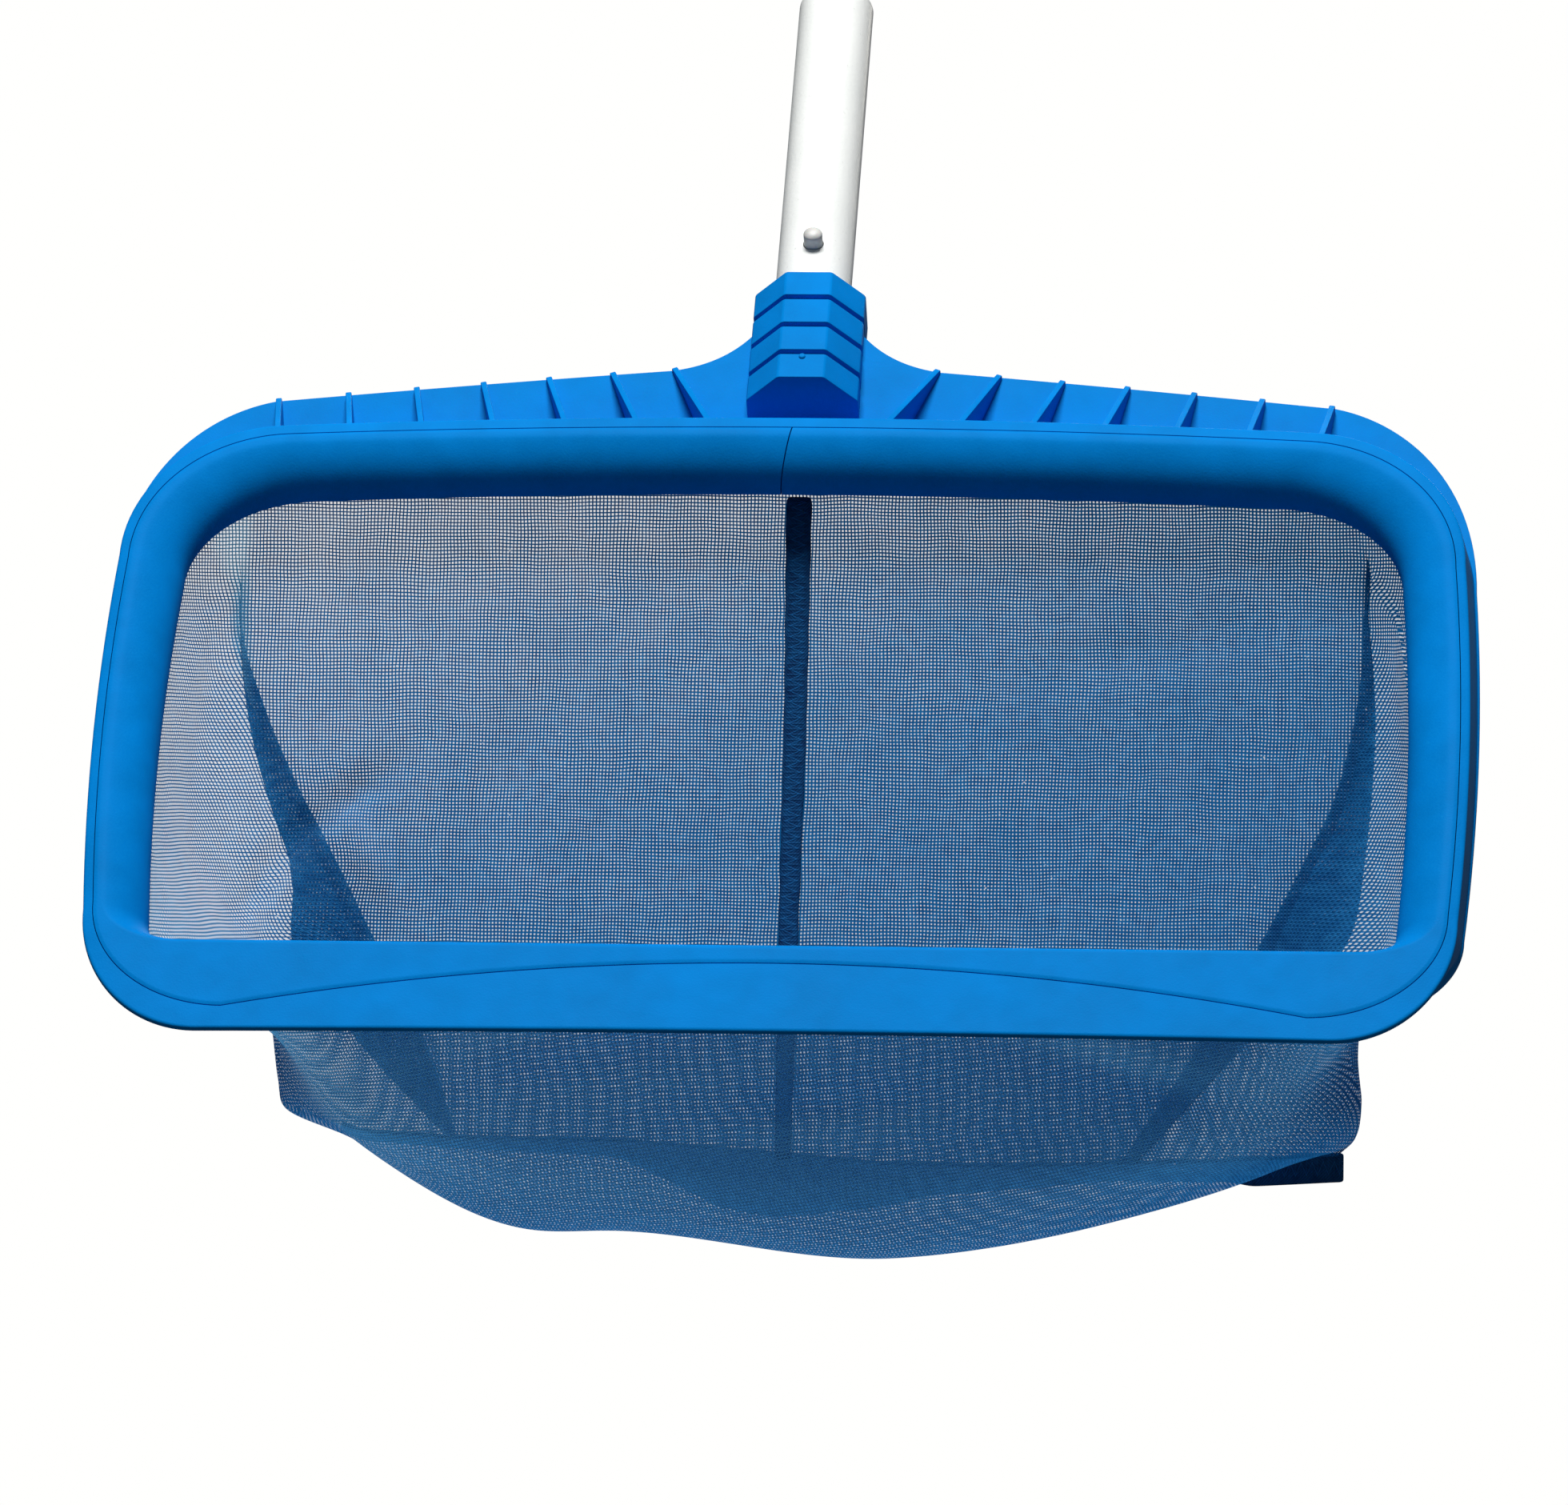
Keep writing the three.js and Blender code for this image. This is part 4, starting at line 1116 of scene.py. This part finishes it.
def metal(name, colour, roughness):
    """Drawn steel: fine streaks and a little tarnish."""
    s = Shader(name)
    place = s.add("TexCoord").outputs["Object"]
    drawn = s.add("Mapping", {"Vector": place, "Scale": (2600, 500, 500)}).outputs["Vector"]
    streaks = s.noise(drawn, 1.0, 3)
    tarnish = s.noise(place, 180, 4, 0.6)
    base = s.mix(s.span(tarnish, 0.42, 0.72), colour, shade(colour, 0.55))
    rough = s.span(s.plus(streaks, tarnish), 0.7, 1.4, roughness - 0.07, roughness + 0.14)
    normal = s.bump(streaks, 0.00006, 0.4)
    return s.principled(base, Roughness=rough, Normal=normal, Metallic=1.0)


def nylon(name):
    """Grey nylon, a little translucent, with a cloudy tone."""
    s = Shader(name)
    place = s.add("TexCoord").outputs["Object"]
    cloud = s.noise(place, 320, 3)
    base = s.mix(s.span(cloud, 0.3, 0.7), (0.52, 0.52, 0.50), (0.66, 0.66, 0.63))
    rough = s.span(cloud, 0.3, 0.7, 0.34, 0.48)
    normal = s.bump(s.noise(place, 1800, 2), 0.00006, 0.4)
    return s.principled(base, Roughness=rough, Normal=normal, Subsurface_Weight=0.15,
                        Subsurface_Scale=0.001)


THREAD_PITCH = 1.15
NET_COLOUR = (0.003, 0.105, 0.320)
NET_PALE = (0.016, 0.200, 0.500)
# painted light: a brighter thread colour, mixed in mostly on the front panel
NET_PAINTED_LIT = (0.160, 0.540, 0.870)
# painted shade: thread colour laid across the holes, more where the weave is tighter
HOLE_PAINTED_SHADE = 0.30
THREAD_EDGE = 0.10              # how softly a thread's edge fades, as a share of the pitch


def woven_net(name):
    """Open plain weave: round threads over and under, holes partly filled with painted shade, a few
    specks of lint, and painted light on the front's threads.
    """
    s = Shader(name)
    uv = s.add("UVMap", uv_map="threads").outputs["UV"]
    sway = s.add("TexNoise", {"Vector": uv, "Scale": 38.0, "Detail": 2.0}).outputs["Color"]
    shift = s.add("VectorMath", {0: sway, 1: (0.5, 0.5, 0.5)}, operation="SUBTRACT").outputs[0]
    shift = s.add("VectorMath", {0: shift, "Scale": 0.0022}, operation="SCALE").outputs[0]
    bent = s.add("VectorMath", {0: uv, 1: shift}, operation="ADD").outputs[0]
    parts = s.add("SeparateXYZ", {"Vector": bent}).outputs
    # The tightness attribute widens the threads towards the bottom, which is painted shade.
    tight_and_shade = s.add("Attribute", attribute_name="tightness_and_shade").outputs["Fac"]
    width = s.span(tight_and_shade, 0, 1, 0.200, 0.345)
    width = s.plus(width, s.span(s.noise(uv, 60, 3), 0.3, 0.7, -0.012, 0.012))
    across, rounds = [], []
    for way in ("X", "Y"):
        off = s.wave(parts[way], THREAD_PITCH * MM)
        clear, solid = s.plus(width, THREAD_EDGE), s.math("SUBTRACT", width, THREAD_EDGE)
        across.append(s.span(off, clear, solid, kind="SMOOTHSTEP"))
        fall = s.math("POWER", s.math("DIVIDE", off, width), 2.0)
        rounds.append(s.math("SQRT", s.math("MAXIMUM", s.math("SUBTRACT", 1.0, fall), 0.0)))
    # Painted shade: the holes are partly filled with thread colour.
    hole_shade = s.span(tight_and_shade, 0, 1, HOLE_PAINTED_SHADE, 0.55)
    cover = s.math("MAXIMUM", s.math("MAXIMUM", *across), hole_shade)
    height = s.math("MAXIMUM", *rounds)
    crossing = s.times(*across)
    tone = s.noise(uv, 260, 3, 0.6)
    base = s.mix(s.span(tone, 0.3, 0.72), NET_COLOUR, NET_PALE)
    # Painted light: the threads are mixed towards a brighter colour, most on the front panel.
    painted_lit = s.add("Attribute", attribute_name="painted_light").outputs["Fac"]
    base = s.mix(s.times(painted_lit, s.span(tone, 0.2, 0.8, 0.75, 1.0)), base, NET_PAINTED_LIT)
    base = s.mix(s.times(crossing, 0.35), base, shade(NET_COLOUR, 0.6))
    lint = s.span(s.noise(uv, 520, 1), 0.79, 0.82)
    base = s.mix(lint, base, (0.62, 0.68, 0.74))
    normal = s.bump(height, 0.00025, 0.8)
    thread = s.add("BsdfPrincipled", {"Base Color": base, "Normal": normal, "Roughness": 0.55,
                                      "Specular IOR Level": 0.15})
    through = s.add("BsdfTranslucent", {"Color": base, "Normal": normal})
    lit = s.add("MixShader", {0: 0.45, 1: thread.outputs["BSDF"], 2: through.outputs["BSDF"]})
    hole = s.add("BsdfTransparent")
    net = s.add("MixShader", {0: cover, 1: hole.outputs["BSDF"], 2: lit.outputs["Shader"]})
    return s.finish(net.outputs["Shader"])


def sewn_tape(name, colour, pale):
    """Bound seam: close herringbone tape with a zigzag of stitches along it, in metres."""
    s = Shader(name)
    uv = s.add("UVMap", uv_map="threads").outputs["UV"]
    parts = s.add("SeparateXYZ", {"Vector": uv}).outputs
    x, y = parts["X"], parts["Y"]
    off_centre = s.math("ABSOLUTE", x)
    ribbing = s.wave(s.plus(y, off_centre), 0.0011)
    path = s.math("SUBTRACT", s.times(s.wave(y, 0.0036), 0.0084), 0.0021)
    stitch = s.span(s.math("ABSOLUTE", s.math("SUBTRACT", x, path)), 0.00055, 0.0003)
    rung = s.times(s.span(s.wave(y, 0.0018), 0.2, 0.1), s.span(off_centre, 0.0031, 0.0027))
    tone = s.noise(uv, 300, 3, 0.6)
    base = s.mix(s.span(tone, 0.3, 0.7), colour, pale)
    base = s.mix(s.times(s.span(ribbing, 0.1, 0.4), 0.45), base, shade(colour, 0.45))
    base = s.mix(s.times(rung, 0.35), base, pale)
    base = s.mix(s.times(stitch, 0.55), base, shade(pale, 1.6))
    height = s.plus(s.times(ribbing, 0.6), s.plus(stitch, s.times(rung, 0.5)))
    return s.principled(base, Normal=s.bump(height, 0.0003, 0.8), Roughness=0.8,
                        Specular_IOR_Level=0.1)


def twisted_cord(name):
    """A white cord: strands wound round it, with painted shade in the grooves between them."""
    s = Shader(name)
    place = s.add("TexCoord").outputs["Object"]
    parts = s.add("SeparateXYZ", {"Vector": place}).outputs
    turn = s.plus(s.plus(parts["X"], parts["Z"]), s.times(parts["Y"], 0.6))
    strand = s.wave(turn, 0.0022)
    # Painted shade: the grooves between the strands are coloured grey.
    base = s.mix(s.span(strand, 0, 0.5), (0.30, 0.34, 0.38), (0.72, 0.74, 0.74))
    return s.principled(base, Normal=s.bump(strand, 0.0006, 0.9), Roughness=0.8)


def painted(thing, material):
    """Gives an object its one material."""
    thing.data.materials.clear()
    thing.data.materials.append(material)
    return thing


# ---------------------------------------------------------------- the hem, seams and stage

def thread_map(data, place):
    """Thread coordinates in metres, from a function of each vertex's number."""
    layer = data.uv_layers.new(name="threads")
    for loop in data.loops:
        layer.data[loop.index].uv = place(loop.vertex_index)


def make_hem():
    """The bag's hem over the channel's inner wall."""
    outer = bag_side(12.2, INNER_WALL + 0.5)
    inner = bag_side(16.2, INNER_WALL + 3.9)
    corners = [(rail(outer, -15.5), 0.4), (rail(outer, -16.7), 0.4), (rail(inner, -16.7), 0.4),
               (rail(inner, -15.5), 0.4)]
    hem = rounded_ring("bag_hem_cloth", corners)
    points = [vertex.co for vertex in hem.data.vertices]
    thread_map(hem.data, lambda i: (points[i].y, points[i].x + points[i].z))
    return hem


CORD_INSET, CORD_BOTTOM, CORD_DEPTH, CORD_RADIUS = 10.3, 30.3, 17.9, 1.25


def make_hem_cord():
    """The cord in the hem, all the way round the channel."""
    rows = []
    for angle in np.linspace(0, 2 * math.pi, 12, endpoint=False):
        out, fore = CORD_RADIUS * math.cos(angle), CORD_RADIUS * math.sin(angle)
        rows.append((rail(bag_side(CORD_INSET + out, CORD_BOTTOM + out), -CORD_DEPTH + fore), 0))
    return rounded_ring("bag_hem_cord", rows)


def strip_mesh(name, rows, thickness):
    """A flat strip with rows of points across it, thread coordinates in metres, and some body."""
    rows = np.asarray(rows, float)
    count, wide = rows.shape[:2]
    data = new_mesh(name, rows, grid_faces(count, wide))
    across = np.linalg.norm(np.diff(rows, axis=1), axis=2).cumsum(axis=1)
    across = np.concatenate([np.zeros((count, 1)), across], axis=1)
    across -= across[:, -1:] / 2
    steps = np.linalg.norm(np.diff(rows[:, wide // 2], axis=0), axis=1)
    down = np.concatenate([[0], steps.cumsum()])
    thread_map(data, lambda i: (across[i // wide, i % wide] * MM, down[i // wide] * MM))
    for polygon in data.polygons:
        polygon.use_smooth = True
    strip = added(name, data)
    body = strip.modifiers.new("body", "SOLIDIFY")
    body.thickness = thickness * MM
    body.offset = 0
    return softened(strip)


def make_back_seam(whole):
    """The tape over the back seam, following the cloth."""
    line = whole[2:, COLUMN_AT[CENTRE]]
    wide = lerp(8.8, 5.6, np.linspace(0, 1, len(line)))[:, None]
    ripple = 0.35 * np.sin(np.arange(len(line)) * 1.9)[:, None]
    offsets = np.linspace(-0.5, 0.5, 5)
    rows = [[p + (o * w[0] + r[0] * 0.5, -0.9 - 0.3 * (1 - 4 * o * o), 0) for o in offsets]
            for p, w, r in zip(line, wide, ripple)]
    return strip_mesh("back_seam", rows, 0.7)


SEAM_SHORT_END = -146.0
SEAM_LONG_END = 183.0
# How far the seam's doubled net hangs below it: across, and down.
SEAM_FALL = [(SEAM_SHORT_END, 3.5), (-100, 5), (-56, 6), (-38, 13), (-22, 20), (-4, 22),
             (17, 18), (47, 11), (80, 8), (109, 6.5), (145, 8), (152, 9.8), (SEAM_LONG_END, 9.8)]


def make_bottom_seam():
    """The bottom seam's binding, hanging from the seam, its right end left long."""
    xs = np.linspace(SEAM_SHORT_END, SEAM_LONG_END - 1, 120)
    rows = []
    for x in xs:
        _, y, z = seam_point(x)
        lean = 1.2 * math.sin(x / 23.0) + 0.6 * math.sin(x / 7.1)
        deep = float(np.interp(x, *zip(*SEAM_FALL)))
        rows.append([(x, y + 1.2 + lean * s, z + 1.2 - deep * s) for s in np.linspace(0, 1, 8)])
    return strip_mesh("bottom_seam", rows, 0.9)


def make_camera():
    """The photo's camera: a long lens, level, a little to the right and rolled a little."""
    data = bpy.data.cameras.new("camera")
    data.sensor_width = SENSOR
    data.lens = SENSOR * CAMERA_DISTANCE / VIEW_WIDTH
    data.clip_start, data.clip_end = 0.1, 100
    camera = added("camera", data)
    turn = (Matrix.Rotation(CAMERA_AZIMUTH, 4, "Z") @ Matrix.Rotation(math.pi / 2, 4, "X")
            @ Matrix.Rotation(CAMERA_ROLL, 4, "Z"))
    back = Vector((math.sin(CAMERA_AZIMUTH), -math.cos(CAMERA_AZIMUTH), 0)) * CAMERA_DISTANCE
    camera.matrix_world = Matrix.Translation(CAMERA_AIM + back) @ turn
    bpy.context.scene.camera = camera


LIGHT_AIM = Vector((0, -0.1, -0.1))


def make_light(name, place, size, power, colour=(1, 1, 1)):
    """A soft box turned to the object."""
    data = bpy.data.lights.new(name, "AREA")
    data.shape = "RECTANGLE"
    data.size, data.size_y = size
    data.energy = power
    data.color = colour
    light = added(name, data)
    light.location = place
    light.rotation_euler = (LIGHT_AIM - Vector(place)).to_track_quat("-Z", "Y").to_euler()


def make_world():
    """A white studio, whose background gives the object only a little of its light."""
    world = bpy.data.worlds.new("studio")
    world.use_nodes = True
    tree = world.node_tree
    tree.nodes.clear()
    out = tree.nodes.new("ShaderNodeOutputWorld")
    ray = tree.nodes.new("ShaderNodeLightPath")
    both = tree.nodes.new("ShaderNodeMixShader")
    tree.links.new(ray.outputs["Is Camera Ray"], both.inputs[0])
    given, seen = ((0.86, 0.93, 1.0, 1), 0.10), ((1, 1, 0.99, 1), 1.0)
    for socket, (colour, strength) in zip(both.inputs[1:], (given, seen)):
        background = tree.nodes.new("ShaderNodeBackground")
        background.inputs["Color"].default_value = colour
        background.inputs["Strength"].default_value = strength
        tree.links.new(background.outputs[0], socket)
    tree.links.new(both.outputs[0], out.inputs["Surface"])
    bpy.context.scene.world = world


FLOOR_DROP = 0.35
FLOOR_RADIUS = 2.4


def make_floor():
    """A pale disc well below the object."""
    work = bmesh.new()
    bmesh.ops.create_circle(work, cap_ends=True, radius=FLOOR_RADIUS, segments=96)
    data = bpy.data.meshes.new("floor")
    work.to_mesh(data)
    work.free()
    floor = added("floor", data)
    floor.location = (0, -0.1, CAD_BOX[0].z - FLOOR_DROP)
    s = Shader("floor_pale")
    place = s.add("TexCoord").outputs["Object"]
    base = s.mix(s.noise(place, 3, 2), (0.80, 0.80, 0.79), (0.86, 0.86, 0.85))
    floor.visible_diffuse = False
    floor.visible_glossy = False
    painted(floor, s.principled(base, Roughness=0.9, Emission_Color=(1, 1, 0.99, 1),
                                Emission_Strength=0.45))


# ---------------------------------------------------------------- the scene

make_camera()
make_world()
make_floor()
make_light("key", (-0.05, -0.98, 3.05), (1.2, 1.0), 143)
make_light("back fill", (0.5, 3.0, 1.2), (1.8, 1.4), 24, (1, 0.95, 0.85))

PLASTIC = moulded_plastic("frame_plastic", (0.0, 0.200, 0.615), (0.006, 0.31, 0.72), 0.50)
STEEL = metal("screw_steel", (0.62, 0.62, 0.60), 0.34)
SPRING = metal("spring_steel", (0.46, 0.47, 0.48), 0.30)
TUBE_COAT = coated_tube("tube_coat")
NYLON = nylon("button_nylon")
NET = woven_net("net_weave")
TAPE = sewn_tape("seam_tape", (0.002, 0.028, 0.110), (0.006, 0.092, 0.262))
CORD = twisted_cord("cord_strands")
BAND = sewn_tape("seam_band", (0.003, 0.045, 0.145), (0.010, 0.105, 0.270))


def place_piece(thing, material, body, slot, *nodes):
    """Gives a piece its material and its body, and hides the CAD nodes that it stands for; slot is not
    used.
    """
    painted(thing, material)
    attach(thing, body)
    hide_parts(*nodes)
    return thing


place_piece(make_rear_frame(), PLASTIC, "head", "blue_plastic", "rear_frame")
place_piece(make_bezel(), PLASTIC, "head", "blue_plastic", "front_bezel")
place_piece(make_tube(), TUBE_COAT, "head", "white_coated_tube", "handle_tube")
for name, side, body in (("clip_leg_front", -1, "front_button"), ("clip_leg_rear", 1, "rear_button")):
    leg = painted(make_clip_leg(name, side), SPRING)
    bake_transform(leg)
    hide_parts("clip_spring")
place_piece(make_button("button_front", -1), NYLON, "front_button", "button_nylon", "clip_button_front")
place_piece(make_button("button_rear", 1), NYLON, "rear_button", "button_nylon", "clip_button_rear")
for screw, node in make_screws():
    place_piece(screw, STEEL, "head", "screw_steel", node)

bag, cloth = make_bag()
hem = place_piece(make_hem(), TAPE, "head", "seam_tape", "bag_hem")
hem_cord = place_piece(make_hem_cord(), CORD, "head", "hem_cord", "hem_cord")
back_seam = place_piece(make_back_seam(cloth), TAPE, "head", "seam_tape", "back_seam_tape")
bottom_seam = place_piece(make_bottom_seam(), BAND, "head", "seam_tape", "bottom_seam_tape")
place_piece(bag, NET, "head", "bag_mesh", "mesh_bag")

bpy.context.scene.view_settings.view_transform = "Standard"
